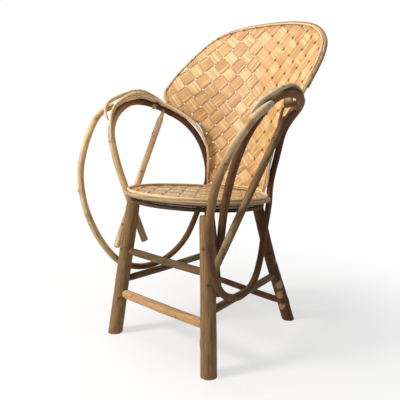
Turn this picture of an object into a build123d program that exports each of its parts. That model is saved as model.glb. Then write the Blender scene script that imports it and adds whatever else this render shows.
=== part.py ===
"""Rustic armchair of bent coppice poles with a woven splint seat and back.

Millimetres, +Z up, the sitter faces -Y and +X is the sitter's left hand.
Points are given for the left side (+X) and mirrored for the right side.
"""
import os
from math import cos, radians, sin, sqrt, tan

from build123d import *

# --- seat: a round hoop, tilted down towards the back -------------------------
SEAT_RADIUS = 202.0            # outside of the rim band
SEAT_CENTRE_Y = -28.0
SEAT_HEIGHT = 431.0            # top of the rim at the seat's centre
SEAT_TILT = 4.5                # degrees
RIM_HEIGHT = 20.0
RIM_THICKNESS = 10.0
RIM_ROUND = 2.0
SEAT_WEAVE_THICKNESS = 4.0
SEAT_WEAVE_RECESS = 4.0        # below the top of the rim
SEAT_RING_DIAMETER = 14.0      # hoop under the weave
LOWER_RING_DIAMETER = 12.0     # hoop on which the legs stand
HOOP_JOINT_AT = 100.0          # degrees, where both hoops' ends meet
HOOP_JOINT_GAP = 0.2           # degrees
SEAT_RAIL_DIAMETER = 12.0
SEAT_RAIL_SPREAD = 75.0        # from the seat's centre line to each rail
SEAT_RAIL_GAP = 0.5            # between a rail and the weave

# --- side line: everything at the chair's sides stands from it -----------------
# Points beside the seat are (past the side line, Y, above the top of the seat).
SIDE_SPREAD = 1.3              # side line per seat radius, so posts clear a wider rim
SIDE_LINE = SIDE_SPREAD * SEAT_RADIUS

# --- legs ---------------------------------------------------------------------
FRONT_FOOT = (-74.6, -192.0)
FRONT_LEG_TOP_X = SIDE_LINE - 121.6
FRONT_LEG_FOOT_DIAMETER = 43.0
FRONT_LEG_TOP_DIAMETER = 39.0
REAR_FOOT = (-113.6, 239.0)
REAR_LEG_KNEES = ((-131.6, 204.0, -314.0), (-147.6, 172.0, -213.0))
REAR_LEG_TOP_X = SIDE_LINE - 163.6
REAR_LEG_DIAMETER = 35.0

# --- stretchers: round rods let into the legs ---------------------------------
UPPER_STRETCHER_DIAMETER = 20.5
UPPER_STRETCHER_HEIGHT = SEAT_HEIGHT - 175.0
LOWER_STRETCHER_DIAMETER = 26.0
LOWER_STRETCHER_HEIGHT = SEAT_HEIGHT - 306.0
REAR_STRETCHER_DIAMETER = 20.0
REAR_STRETCHER_HEIGHTS = (62.0, 76.0)             # left end, right end
SIDE_STRETCHER_DIAMETER = 20.5
SIDE_STRETCHER_HEIGHTS = (     # front and rear ends, left and then right
    (SEAT_HEIGHT - 274.0, SEAT_HEIGHT - 277.0), (SEAT_HEIGHT - 269.0, SEAT_HEIGHT - 250.0),
)
TENON_DEPTH = 26.0             # into the leg
SHOULDER_LENGTH = 9.0          # rounded end between rod and tenon
TENON_DIAMETER = 15.0

# --- arm loop: one bent rod from the hoop's scarf to the front post's end -----
ARM_ROD_DIAMETER = 21.0
ARM_ROUTE = (
    (26.4, -92.0, 241.0), (30.4, -131.0, 229.0), (22.4, -167.0, 202.0),
    (4.4, -218.0, 134.0), (-11.6, -254.0, 49.0), (-26.6, -250.0, -51.0),
    (-45.6, -217.0, -148.0), (-60.6, -158.0, -228.0), (-71.6, -75.0, -260.0),
    (-88.6, 12.0, -247.0), (-110.6, 74.0, -195.0), (-124.6, 108.0, -125.0),
    (-132.6, 143.0, -43.0), (-140.6, 155.0, 1.0), (-134.6, 161.0, 49.0),
    (-116.6, 159.0, 109.0), (-94.6, 141.0, 160.0), (-57.6, 119.0, 201.0),
    (-3.6, 81.0, 235.0), (24.4, 43.0, 253.0), (31.4, 4.0, 268.0),
    (16.4, -29.0, 267.0), (5.4, -68.0, 246.0), (4.4, -112.0, 212.0),
    (-12.6, -140.0, 163.0), (-43.6, -146.0, 84.0), (-75.6, -136.0, -7.0),
    (-118.6, -105.0, -158.0),
)

# --- strut under each arm, with a thinner tongue at its top -------------------
STRUT_DIAMETER = 20.0
STRUT_FOOT = (29.2, -16.4)     # outwards and along Y from the front leg's axis
STRUT_FOOT_DROP = 170.0        # below the top of the seat
STRUT_ROUTE = ((-50.6, -60.0, 27.0), (-28.6, 52.0, 205.0))
STRUT_TONGUE_DIAMETER = 13.0
STRUT_TONGUE_END = (-10.6, 84.0, 233.0)           # inside the arm rod, coped to it

# --- thin strips nailed over each arm, and a cleat at the elbow ---------------
STRIP_DIAMETER = 10.0
INNER_STRIP_ROUTE = (
    (-140.6, 139.0, 75.0), (-121.6, 139.0, 129.0), (-98.6, 125.0, 178.0),
    (-59.6, 101.0, 219.0), (-12.6, 68.0, 252.0), (9.4, 35.0, 271.0),
    (10.4, 2.0, 280.0), (2.4, -30.0, 280.0), (-6.6, -66.0, 263.0),
    (-5.6, -118.0, 233.0), (-16.6, -154.0, 173.0), (-27.6, -160.0, 139.0),
)
OUTER_STRIP_ROUTE = (
    (6.4, 76.0, 266.0), (16.4, 56.0, 276.0), (21.4, 22.0, 286.0),
    (21.4, -15.0, 288.0), (20.4, -55.0, 276.0), (19.4, -92.0, 257.0),
    (12.4, -124.0, 245.0), (3.4, -146.0, 219.0), (-4.6, -157.0, 184.0),
)
CLEAT_DIAMETER = 12.0
CLEAT_ROUTE = ((-21.6, 28.0, 239.0), (0.4, 60.0, 244.0))

# --- woven back: a dished panel, y = spine - dish * x^2 -----------------------
BACK_BOTTOM = SEAT_HEIGHT - 11.0
BACK_TOP = BACK_BOTTOM + 504.0
BACK_SPINE_Y = 172.0           # centre line at the bottom edge
BACK_LEAN = 0.22               # backward travel per height
BACK_DISH = 0.0024             # 1/mm
BACK_DISH_START = 262.6        # from the side line inwards to the middle of the dish
BACK_DISH_FADE = (199.0, 519.0)                   # above the seat, where it flattens
BACK_OUTLINE = (               # (past the side line, above the seat) from the bottom corner up
    (-148.6, -11.0), (-141.6, 36.0), (-134.6, 89.0), (-111.6, 167.0),
    (-61.6, 217.0), (-14.6, 251.0), (3.4, 283.0), (4.4, 319.0),
    (-1.6, 366.0), (-24.6, 422.0), (-74.6, 467.0), (-152.6, 487.0),
)
BACK_WEAVE_THICKNESS = 3.0
FRONT_STRIP_WIDTH = 13.0
FRONT_STRIP_THICKNESS = 4.0
REAR_RIM_WIDTH = 10.0
REAR_RIM_THICKNESS = 9.0
REAR_RIM_OVERHANG = 4.0        # past the edge of the weave
REAR_RIM_START = 281.0         # above the seat, where its two ends stop
SURFACE_STEP = 40.0            # spacing of the points that shape the panel
EDGE_POINTS = 31               # points that shape an inset edge

# --- nails --------------------------------------------------------------------
NAIL_DIAMETER = 2.0
NAIL_HEAD_DIAMETER = 5.0
NAIL_HEAD_THICKNESS = 1.0
RIM_NAIL_COUNT = 16
RIM_NAIL_LENGTH = 18.0
BACK_NAIL_COUNT = 30
BACK_NAIL_PROUD = 0.4          # under the head, which stays clear of the curved strip
BACK_NAIL_POINT = 0.6          # past the back of the weave
RIM_NAIL_BITE = 5.0            # further into the rear rim, where it runs
LEG_PIN_DIAMETER = 4.0
LEG_PIN_LENGTH = 36.0
LEG_PIN_SINK = 1.0             # below the top of the lower ring
LEG_HOLE_START = 5.0           # above the pin, so that its hole goes right through the ring
INNER_STRIP_NAILS = (0.03, 0.16, 0.3, 0.88, 0.97)  # places along the strip
OUTER_STRIP_NAILS = (0.06, 0.62, 0.93)
STRIP_NAIL_LENGTH = 26.0
ROD_NAIL_LENGTH = 34.0
SCARF_NAIL_AT = 0.006          # place along the arm rod
FRONT_POST_NAIL_HEIGHT = SEAT_HEIGHT - 1.0
REAR_POST_NAIL_HEIGHT = SEAT_HEIGHT - 25.0
STRUT_NAIL_HEIGHT = SEAT_HEIGHT - 155.0

MIRROR = {"left": 1, "right": -1}
REACH = 1200.0                 # larger than the chair, for cutting blocks
STANDING = (Align.CENTER, Align.CENTER, Align.MIN)
HANGING = (Align.CENTER, Align.CENTER, Align.MAX)
FILLET_SHARE = 0.45            # of the shorter straight run, given to each bend
LEG_OVERRUN = 0.1              # of a leg's length, cut off again at both ends
seat_plane = Plane(
    origin=(0, SEAT_CENTRE_Y, SEAT_HEIGHT),
    x_dir=(1, 0, 0),
    z_dir=(0, sin(radians(SEAT_TILT)), cos(radians(SEAT_TILT))),
)
weave_radius = SEAT_RADIUS - RIM_THICKNESS
weave_bottom = SEAT_WEAVE_RECESS + SEAT_WEAVE_THICKNESS
ring_radius = weave_radius - SEAT_RING_DIAMETER / 2
ring_depth = weave_bottom + SEAT_RING_DIAMETER / 2
lower_ring_depth = ring_depth + (SEAT_RING_DIAMETER + LOWER_RING_DIAMETER) / 2
leg_top_depth = lower_ring_depth + LOWER_RING_DIAMETER / 2


# --- helpers ------------------------------------------------------------------
def beside(point, side):
    """A point given past the side line, from the origin and above the top of the seat."""
    out, y, rise = point
    return Vector(MIRROR[side] * (SIDE_LINE + out), y, SEAT_HEIGHT + rise)


def bent_path(points):
    """Straight runs joined by tangent arcs as large as the runs allow."""
    radii = []
    for before, corner, after in zip(points, points[1:], points[2:]):
        arriving, leaving = corner - before, after - corner
        turn = radians(arriving.get_angle(leaving))
        radii.append(FILLET_SHARE * min(arriving.length, leaving.length) / tan(turn / 2))
    return FilletPolyline(*points, radius=radii)


def rod(points, diameter):
    """A round rod along a bent path."""
    path = bent_path(points) if len(points) > 2 else Line(*points)
    return sweep(Plane(path @ 0, z_dir=path % 0) * Circle(diameter / 2), path)


def under_seat(depth):
    """Everything below a plane parallel to the seat, that deep under the rim's top."""
    return seat_plane.offset(-depth) * Box(REACH, REACH, REACH, align=HANGING)


def above_floor():
    return Box(REACH, REACH, REACH, align=STANDING)


def on_ring(x, side, rearward):
    """The point under the lower ring at that distance from the middle, in front or at the rear."""
    y = SEAT_CENTRE_Y + (1 if rearward else -1) * sqrt(ring_radius**2 - x**2)
    z = SEAT_HEIGHT - leg_top_depth - (y - SEAT_CENTRE_Y) * tan(radians(SEAT_TILT))
    return Vector(MIRROR[side] * x, y, z)


def nail(head, towards, length):
    """A round nail whose head rests at a point and whose shank runs towards another."""
    plane = Plane(head, z_dir=(towards - head).normalized())
    shank = Cylinder(NAIL_DIAMETER / 2, length, align=STANDING)
    cap = Cylinder(NAIL_HEAD_DIAMETER / 2, NAIL_HEAD_THICKNESS, align=HANGING)
    return plane * (shank + cap)


# --- seat ---------------------------------------------------------------------
def make_seat_rim():
    band = Circle(SEAT_RADIUS) - Circle(weave_radius)
    rim = extrude(band, -RIM_HEIGHT)
    outer = rim.edges().filter_by(GeomType.CIRCLE).sort_by(SortBy.RADIUS)[-2:]
    return seat_plane * fillet(outer, RIM_ROUND)


def make_seat_weave():
    disc = extrude(Circle(weave_radius), -SEAT_WEAVE_THICKNESS)
    return seat_plane.offset(-SEAT_WEAVE_RECESS) * disc


def make_ring(diameter, depth):
    """A rod bent into a hoop under the seat, its two ends butted at the rear."""
    section = Plane.XZ * Pos(ring_radius, 0, 0) * Circle(diameter / 2)
    hoop = Rot(0, 0, HOOP_JOINT_AT) * revolve(section, Axis.Z, 360 - HOOP_JOINT_GAP)
    return seat_plane.offset(-depth) * hoop


def make_seat_rail(ring, forward):
    """A cross rail coped to the seat ring at both ends."""
    half = sqrt(ring_radius**2 - SEAT_RAIL_SPREAD**2)
    depth = weave_bottom + SEAT_RAIL_GAP + SEAT_RAIL_DIAMETER / 2
    bar = Rot(0, 90, 0) * Cylinder(SEAT_RAIL_DIAMETER / 2, 2 * half)
    spread = -SEAT_RAIL_SPREAD if forward else SEAT_RAIL_SPREAD
    return seat_plane.offset(-depth) * (Pos(0, spread, 0) * bar) - ring


# --- legs and stretchers ------------------------------------------------------
def front_leg_axis(side):
    return beside((*FRONT_FOOT, -SEAT_HEIGHT), side), on_ring(FRONT_LEG_TOP_X, side, False)


def rear_leg_axis(side):
    lower = [beside(p, side) for p in ((*REAR_FOOT, -SEAT_HEIGHT), *REAR_LEG_KNEES)]
    return [*lower, on_ring(REAR_LEG_TOP_X, side, True)]


def along(points, height):
    """The point of a leg's axis at a height."""
    for low, high in zip(points, points[1:]):
        if height <= high.Z or high is points[-1]:
            return low + (high - low) * ((height - low.Z) / (high.Z - low.Z))


def make_front_leg(side):
    foot, top = front_leg_axis(side)
    slope = top - foot
    start, end = foot - slope * LEG_OVERRUN, top + slope * LEG_OVERRUN
    taper = (FRONT_LEG_TOP_DIAMETER - FRONT_LEG_FOOT_DIAMETER) / 2 * LEG_OVERRUN
    pole = Cone(
        FRONT_LEG_FOOT_DIAMETER / 2 - taper,
        FRONT_LEG_TOP_DIAMETER / 2 + taper,
        (end - start).length,
        align=STANDING,
    )
    return Plane(start, z_dir=slope.normalized()) * pole & above_floor() & under_seat(leg_top_depth)


def make_rear_leg(side):
    axis = rear_leg_axis(side)
    overrun = REAR_LEG_DIAMETER
    axis[0] = axis[0] + (axis[0] - axis[1]).normalized() * overrun
    axis[-1] = axis[-1] + (axis[-1] - axis[-2]).normalized() * overrun
    return rod(axis, REAR_LEG_DIAMETER) & above_floor() & under_seat(leg_top_depth)


def make_stretcher(start, end, diameter, leg_diameter):
    """A rod between two leg axes, with rounded shoulders and tenons in the legs."""
    span = end - start
    shoulder_start = (leg_diameter - SHOULDER_LENGTH) / 2
    tenon_start = leg_diameter / 2 - TENON_DEPTH
    body_start = shoulder_start + SHOULDER_LENGTH
    body = Cylinder(diameter / 2, span.length - 2 * body_start, align=STANDING)
    shoulder = Cone(TENON_DIAMETER / 2, diameter / 2, SHOULDER_LENGTH, align=STANDING)
    tenon = Cylinder(TENON_DIAMETER / 2, shoulder_start - tenon_start, align=STANDING)
    near_end = Pos(0, 0, tenon_start) * tenon + Pos(0, 0, shoulder_start) * shoulder
    far_end = Pos(0, 0, span.length) * Rot(180, 0, 0) * near_end
    middle = Pos(0, 0, body_start) * body
    return Plane(start, z_dir=span.normalized()) * (near_end + middle + far_end)


# --- arms ---------------------------------------------------------------------
def route(points, side):
    return [beside(p, side) for p in points]


def strut_axis(side):
    """From beside the front leg up to where the tongue starts."""
    leg = along(front_leg_axis(side), SEAT_HEIGHT - STRUT_FOOT_DROP)
    foot = leg + Vector(MIRROR[side] * STRUT_FOOT[0], STRUT_FOOT[1])
    return [foot, *route(STRUT_ROUTE, side)]


def make_strut(side, arm_loop):
    """A strut whose tongue is coped to the underside of the arm rod."""
    lower = strut_axis(side)
    tongue = rod([lower[-1], beside(STRUT_TONGUE_END, side)], STRUT_TONGUE_DIAMETER)
    return rod(lower, STRUT_DIAMETER) + tongue - arm_loop


# --- back ---------------------------------------------------------------------
def back_y(x, z):
    """Depth of the middle of the woven back at a point of its outline plane."""
    low, high = BACK_DISH_FADE
    t = min(max((z - SEAT_HEIGHT - low) / (high - low), 0.0), 1.0)
    dish = BACK_DISH * (1 - t * t * (3 - 2 * t))
    out = abs(x) - (SIDE_LINE - BACK_DISH_START)
    return BACK_SPINE_Y + BACK_LEAN * (z - BACK_BOTTOM) - dish * out * out


def back_slab(front, thickness, margin=15.0):
    """The dished surface given a thickness along Y, starting that far off its middle."""
    half = SIDE_LINE + max(out for out, _ in BACK_OUTLINE) + margin
    columns = int(2 * half / SURFACE_STEP)
    rows = int((BACK_TOP - BACK_BOTTOM + 2 * margin) / SURFACE_STEP)
    grid = []
    for i in range(columns + 1):
        x = -half + 2 * half * i / columns
        heights = [
            BACK_BOTTOM - margin + (BACK_TOP - BACK_BOTTOM + 2 * margin) * j / rows
            for j in range(rows + 1)
        ]
        grid.append([Vector(x, back_y(x, z) + front, z) for z in heights])
    face = Face.make_surface_from_array_of_points(grid)
    return extrude(face, amount=thickness, dir=(0, 1, 0))


def back_edge():
    """The curved edge of the back, from the left bottom corner to the right one."""
    left = [(SIDE_LINE + out, SEAT_HEIGHT + rise) for out, rise in BACK_OUTLINE]
    return Spline(*left, (0.0, BACK_TOP), *[(-x, z) for x, z in reversed(left)])


def inset_points(inset, count):
    """Evenly spaced points at a distance inside the back's edge."""
    edge = back_edge()
    points = []
    for i in range(count):
        at, along_edge = edge @ (i / (count - 1)), edge % (i / (count - 1))
        points.append((at.X - inset * along_edge.Y, at.Y + inset * along_edge.X))
    return points


def back_outline():
    edge = back_edge()
    return make_face([edge, Line(edge @ 1, edge @ 0)])


def inset_outline(inset):
    """The outline moved inwards, and carried on below the back's bottom edge."""
    points = inset_points(inset, EDGE_POINTS)
    low = BACK_BOTTOM - 2 * FRONT_STRIP_WIDTH
    left, right = (points[0][0], low), (points[-1][0], low)
    sides = Line(points[-1], right) + Line(right, left) + Line(left, points[0])
    return make_face([Spline(*points), *sides.edges()])


def back_prism(face):
    """An outline drawn in X and height, extruded through the whole depth."""
    return extrude(Plane.XZ * face, amount=REACH, both=True)


# --- nails --------------------------------------------------------------------
def samples(path, start=0.0, end=1.0, count=240):
    """Points spread along a stretch of a path."""
    return [path @ (start + (end - start) * i / count) for i in range(count + 1)]


def nearest(points, target):
    return min(points, key=lambda p: (p - target).length)


def at_height(points, height):
    return min(points, key=lambda p: abs(p.Z - height))


def boxes_meet(a, b):
    return all(max(p, q) <= min(r, s) for p, q, r, s in zip(a.min, b.min, a.max, b.max))


def nail_through(outer, inner, diameter, length):
    """A nail driven through a rod's axis point towards another piece's axis."""
    away = (outer - inner).normalized()
    return nail(outer + away * (diameter / 2), inner, length)


def make_rim_nails():
    nails = []
    for i in range(RIM_NAIL_COUNT):
        turn = Rot(0, 0, 360 * i / RIM_NAIL_COUNT)
        head, middle = Vector(SEAT_RADIUS, 0, -ring_depth), Vector(0, 0, -ring_depth)
        nails.append(seat_plane * (turn * nail(head, middle, RIM_NAIL_LENGTH)))
    return nails


def make_leg_pins(above=0.0):
    """Pins down through the lower ring into the tops of the legs, or their longer holes."""
    pins = []
    for side in MIRROR:
        for foot, top in (front_leg_axis(side), rear_leg_axis(side)[-2:]):
            down = (foot - top).normalized()
            start = top + seat_plane.z_dir * (LOWER_RING_DIAMETER - LEG_PIN_SINK) - down * above
            pin = Cylinder(LEG_PIN_DIAMETER / 2, LEG_PIN_LENGTH + above, align=STANDING)
            pins.append(Plane(start, z_dir=down) * pin)
    return pins


def make_back_nails():
    """Nails through the middle of the front strip, square to the dished surface."""
    nails = []
    stack = BACK_WEAVE_THICKNESS + FRONT_STRIP_THICKNESS
    for x, z in inset_points(FRONT_STRIP_WIDTH / 2, BACK_NAIL_COUNT)[1:-1]:
        slope_x = (back_y(x + 1, z) - back_y(x - 1, z)) / 2
        slope_z = (back_y(x, z + 1) - back_y(x, z - 1)) / 2
        inward = Vector(-slope_x, 1, -slope_z)
        face = Vector(x, back_y(x, z) + BACK_WEAVE_THICKNESS / 2 - stack, z)
        head = face - inward.normalized() * BACK_NAIL_PROUD
        length = BACK_NAIL_PROUD + stack / inward.length + BACK_NAIL_POINT
        if z > SEAT_HEIGHT + REAR_RIM_START:
            length += RIM_NAIL_BITE
        nails.append(nail(head, head + inward, length))
    return nails


def make_arm_nails(side):
    arm = bent_path(route(ARM_ROUTE, side))
    arm_points = samples(arm)
    nails = []
    for strip_route, places in (
        (INNER_STRIP_ROUTE, INNER_STRIP_NAILS),
        (OUTER_STRIP_ROUTE, OUTER_STRIP_NAILS),
    ):
        strip = bent_path(route(strip_route, side))
        for place in places:
            outer = strip @ place
            inner = nearest(arm_points, outer)
            nails.append(nail_through(outer, inner, STRIP_DIAMETER, STRIP_NAIL_LENGTH))
    scarf = arm @ SCARF_NAIL_AT
    carrier = nearest(samples(arm, 0.5), scarf)
    nails.append(nail_through(scarf, carrier, ARM_ROD_DIAMETER, ROD_NAIL_LENGTH))
    for start, end, height in (
        (0.9, 1.0, FRONT_POST_NAIL_HEIGHT),
        (0.42, 0.55, REAR_POST_NAIL_HEIGHT),
    ):
        post = at_height(samples(arm, start, end), height)
        centre = Vector(0, SEAT_CENTRE_Y, post.Z)
        nails.append(nail_through(post, centre, ARM_ROD_DIAMETER, ROD_NAIL_LENGTH))
    foot = at_height(samples(bent_path(strut_axis(side))), STRUT_NAIL_HEIGHT)
    leg = along(front_leg_axis(side), STRUT_NAIL_HEIGHT)
    nails.append(nail_through(foot, leg, STRUT_DIAMETER, ROD_NAIL_LENGTH))
    return nails


# --- assembly -----------------------------------------------------------------
parts = {}
parts["seat_rim"] = make_seat_rim()
parts["seat_weave"] = make_seat_weave()
parts["seat_ring"] = make_ring(SEAT_RING_DIAMETER, ring_depth)
parts["seat_lower_ring"] = make_ring(LOWER_RING_DIAMETER, lower_ring_depth)
parts["seat_rail_front"] = make_seat_rail(parts["seat_ring"], True)
parts["seat_rail_rear"] = make_seat_rail(parts["seat_ring"], False)

for side in MIRROR:
    parts["front_leg_" + side] = make_front_leg(side)
    parts["rear_leg_" + side] = make_rear_leg(side)
    parts["arm_loop_" + side] = rod(route(ARM_ROUTE, side), ARM_ROD_DIAMETER)
    parts["arm_strut_" + side] = make_strut(side, parts["arm_loop_" + side])
    parts["arm_inner_strip_" + side] = rod(route(INNER_STRIP_ROUTE, side), STRIP_DIAMETER)
    parts["arm_outer_strip_" + side] = rod(route(OUTER_STRIP_ROUTE, side), STRIP_DIAMETER)
    cleat = rod(route(CLEAT_ROUTE, side), CLEAT_DIAMETER)
    parts["arm_cleat_" + side] = cleat - parts["arm_loop_" + side]

front_axes = {side: front_leg_axis(side) for side in MIRROR}
rear_axes = {side: rear_leg_axis(side) for side in MIRROR}
for name, height, diameter in (
    ("front_stretcher_upper", UPPER_STRETCHER_HEIGHT, UPPER_STRETCHER_DIAMETER),
    ("front_stretcher_lower", LOWER_STRETCHER_HEIGHT, LOWER_STRETCHER_DIAMETER),
):
    ends = [along(front_axes[side], height) for side in ("right", "left")]
    parts[name] = make_stretcher(*ends, diameter, FRONT_LEG_TOP_DIAMETER)
ends = [along(rear_axes[s], h) for s, h in zip(MIRROR, REAR_STRETCHER_HEIGHTS)]
parts["rear_stretcher"] = make_stretcher(*ends, REAR_STRETCHER_DIAMETER, REAR_LEG_DIAMETER)
for side, (front_height, rear_height) in zip(MIRROR, SIDE_STRETCHER_HEIGHTS):
    ends = (along(front_axes[side], front_height), along(rear_axes[side], rear_height))
    parts["side_stretcher_" + side] = make_stretcher(
        *ends, SIDE_STRETCHER_DIAMETER, REAR_LEG_DIAMETER
    )
stretchers = [name for name in parts if "stretcher" in name]
for leg in [name for name in parts if "_leg_" in name]:
    for name in stretchers:
        if leg.split("_leg_")[0] in name or name == "side_stretcher_" + leg.split("_")[-1]:
            parts[leg] = parts[leg] - parts[name]

# back panel, its strips and its rear rim share one dished surface
outline = back_outline()
half_weave = BACK_WEAVE_THICKNESS / 2
inner_prism = back_prism(inset_outline(FRONT_STRIP_WIDTH))
strip_slab = back_slab(-half_weave - FRONT_STRIP_THICKNESS, FRONT_STRIP_THICKNESS)
bottom_zone = Pos(0, 0, BACK_BOTTOM) * Box(REACH, REACH, FRONT_STRIP_WIDTH, align=STANDING)
parts["back_weave"] = back_slab(-half_weave, BACK_WEAVE_THICKNESS) & back_prism(outline)
parts["back_front_strip"] = (strip_slab & back_prism(outline)) - inner_prism
parts["back_bottom_strip"] = strip_slab & inner_prism & bottom_zone
rim_slab = back_slab(half_weave, REAR_RIM_THICKNESS)
rim_ring = (rim_slab & back_prism(inset_outline(-REAR_RIM_OVERHANG))) - back_prism(
    inset_outline(REAR_RIM_WIDTH - REAR_RIM_OVERHANG)
)
upper_zone = Pos(0, 0, SEAT_HEIGHT + REAR_RIM_START) * above_floor()
parts["back_rear_rim"] = rim_ring & upper_zone

# nails, and the holes that they fill
nail_groups = {
    "seat_rim_nails": (make_rim_nails(), ("seat_rim", "seat_ring", "seat_rail")),
    "leg_pins": (make_leg_pins(), ("leg_", "seat_lower_ring")),
    "back_nails": (make_back_nails(), ("back_", "arm_loop")),
    "arm_nails_left": (make_arm_nails("left"), ("_left", "seat_", "back_")),
    "arm_nails_right": (make_arm_nails("right"), ("_right", "seat_", "back_")),
}
for group, (nails, drilled) in nail_groups.items():
    holes = make_leg_pins(LEG_HOLE_START) if group == "leg_pins" else nails
    hole_boxes = [h.bounding_box() for h in holes]
    for name in parts:
        if any(key in name for key in drilled):
            box = parts[name].bounding_box()
            near = [h for h, b in zip(holes, hole_boxes) if boxes_meet(b, box)]
            parts[name] = parts[name] - near if near else parts[name]
for name, (nails, _) in nail_groups.items():
    parts[name] = Compound(nails)

if __name__ == "__main__":
    os.makedirs("parts", exist_ok=True)
    whole = Compound(children=[Part() + p for p in parts.values()]).bounding_box()
    centring = Pos(0, -(whole.min.Y + whole.max.Y) / 2, 0)
    print("moved along Y by", round(-(whole.min.Y + whole.max.Y) / 2, 3), "size", whole.size)
    for name, part in parts.items():
        export_step(centring * part, os.path.join("parts", name + ".step"))
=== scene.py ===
"""Looks of a rustic armchair: bent coppice poles, peeled strips, woven splints and wire nails."""
from math import cos, pi, radians, sin, sqrt, tan

import bpy
import numpy as np
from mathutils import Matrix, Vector


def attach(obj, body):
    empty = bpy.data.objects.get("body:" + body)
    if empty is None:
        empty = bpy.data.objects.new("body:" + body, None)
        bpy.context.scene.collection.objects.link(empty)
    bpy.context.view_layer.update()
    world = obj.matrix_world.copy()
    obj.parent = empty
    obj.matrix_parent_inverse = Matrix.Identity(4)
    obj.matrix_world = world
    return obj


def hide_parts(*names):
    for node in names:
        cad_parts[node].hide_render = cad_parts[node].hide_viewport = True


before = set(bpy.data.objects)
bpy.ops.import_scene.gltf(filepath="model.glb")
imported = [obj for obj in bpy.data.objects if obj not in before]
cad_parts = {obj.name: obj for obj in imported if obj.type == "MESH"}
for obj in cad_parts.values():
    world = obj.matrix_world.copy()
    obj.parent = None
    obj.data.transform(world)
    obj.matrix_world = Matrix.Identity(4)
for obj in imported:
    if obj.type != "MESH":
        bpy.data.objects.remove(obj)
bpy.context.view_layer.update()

MM = 0.001
ROW_SHIFT = np.array([0.0, -15.639, 0.0])  # from the makers' origin to the row's, in mm
SIDES = {"left": 1.0, "right": -1.0}


# --- node trees ----------------------------------------------------------------------
class Flow:
    """One output of a node. Python's operators on it add Math nodes."""

    def __init__(self, net, socket):
        self.net, self.socket = net, socket

    def _math(self, operation, *terms):
        return self.net.add("ShaderNodeMath", {"operation": operation}, dict(enumerate(terms)))[0]

    def __add__(self, other): return self._math("ADD", self, other)
    def __radd__(self, other): return self._math("ADD", other, self)
    def __sub__(self, other): return self._math("SUBTRACT", self, other)
    def __rsub__(self, other): return self._math("SUBTRACT", other, self)
    def __mul__(self, other): return self._math("MULTIPLY", self, other)
    def __rmul__(self, other): return self._math("MULTIPLY", other, self)
    def __truediv__(self, other): return self._math("DIVIDE", self, other)
    def __rtruediv__(self, other): return self._math("DIVIDE", other, self)
    def __pow__(self, other): return self._math("POWER", self, other)
    def __rpow__(self, other): return self._math("POWER", other, self)
    def __neg__(self): return self._math("MULTIPLY", self, -1.0)
    def __lt__(self, other): return self._math("LESS_THAN", self, other)
    def __gt__(self, other): return self._math("GREATER_THAN", self, other)
    def __abs__(self): return self._math("ABSOLUTE", self)

    def sine(self): return self._math("SINE", self)
    def root(self): return self._math("SQRT", self)
    def parity(self): return self._math("MODULO", self, 2.0)
    def least(self, other): return self._math("MINIMUM", self, other)
    def most(self, other): return self._math("MAXIMUM", self, other)

    def ramp(self, low, high):
        """0 at low and 1 at high, with a smooth climb between them."""
        inputs = {"Value": self, "From Min": low, "From Max": high}
        return self.net.add("ShaderNodeMapRange", {"interpolation_type": "SMOOTHSTEP"}, inputs)[0]

    def bell(self, width):
        """1 at 0, falling off over that width on both sides."""
        return self._math("EXPONENT", -((self / width) * (self / width)))

    def parts(self):
        split = self.net.add("ShaderNodeSeparateXYZ", {}, {0: self})
        return split[0], split[1], split[2]

    def vector(self, operation, other):
        key = 3 if operation == "SCALE" else 1
        made = self.net.add("ShaderNodeVectorMath", {"operation": operation}, {0: self, key: other})
        return made[1 if operation in ("LENGTH", "DOT_PRODUCT", "DISTANCE") else 0]


class Outputs:
    """A new node's outputs, by place or by name."""

    def __init__(self, net, node):
        self.net, self.node = net, node

    def __getitem__(self, key):
        if isinstance(key, str):
            found = [s for s in self.node.outputs if s.name == key and s.enabled]
            return Flow(self.net, found[0])
        return Flow(self.net, self.node.outputs[key])


class Net:
    """A node tree under construction."""

    def __init__(self, tree):
        self.tree = tree

    def add(self, kind, settings, inputs):
        """Adds a node, sets its settings and then feeds its sockets with values or links."""
        node = self.tree.nodes.new(kind)
        for name, value in settings.items():
            setattr(node, name, value)
        for key, value in inputs.items():
            if isinstance(key, str):
                socket = [s for s in node.inputs if s.name == key and s.enabled][0]
            else:
                socket = node.inputs[key]
            if isinstance(value, Flow):
                self.tree.links.new(value.socket, socket)
            else:
                socket.default_value = value
        return Outputs(self, node)

    def join(self, x, y, z):
        return self.add("ShaderNodeCombineXYZ", {}, {0: x, 1: y, 2: z})[0]

    def noise(self, place, scale, detail=3.0, rough=0.55):
        """Noise about 0.5 at a place, with its own scale along each axis."""
        if not isinstance(scale, (int, float)):
            place, scale = place.vector("MULTIPLY", scale), 1.0
        inputs = {"Vector": place, "Scale": scale, "Detail": detail, "Roughness": rough}
        return self.add("ShaderNodeTexNoise", {}, inputs)[0]

    def mix(self, share, first, second):
        """A colour between two colours."""
        inputs = {0: share, 6: first, 7: second}
        return self.add("ShaderNodeMix", {"data_type": "RGBA"}, inputs)[2]

    def shade(self, colour, by):
        """A colour multiplied by a value."""
        return self.tint(colour, self.join(by, by, by))

    def tint(self, colour, by):
        """A colour multiplied by another."""
        settings = {"data_type": "RGBA", "blend_type": "MULTIPLY"}
        return self.add("ShaderNodeMix", settings, {0: 1.0, 6: colour, 7: by})[2]

    def seen(self):
        """1 for what the camera sees straight, in a reflection or through glass."""
        rays = self.add("ShaderNodeLightPath", {}, {})
        return rays["Is Camera Ray"].most(rays["Is Glossy Ray"]).most(rays["Is Transmission Ray"])


def rgba(colour):
    return (*colour, 1.0)


def dimmed(colour, share):
    return rgba([share * c for c in colour])


def placed(name, data):
    """A new object in the scene."""
    made = bpy.data.objects.new(name, data)
    bpy.context.scene.collection.objects.link(made)
    return made


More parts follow.
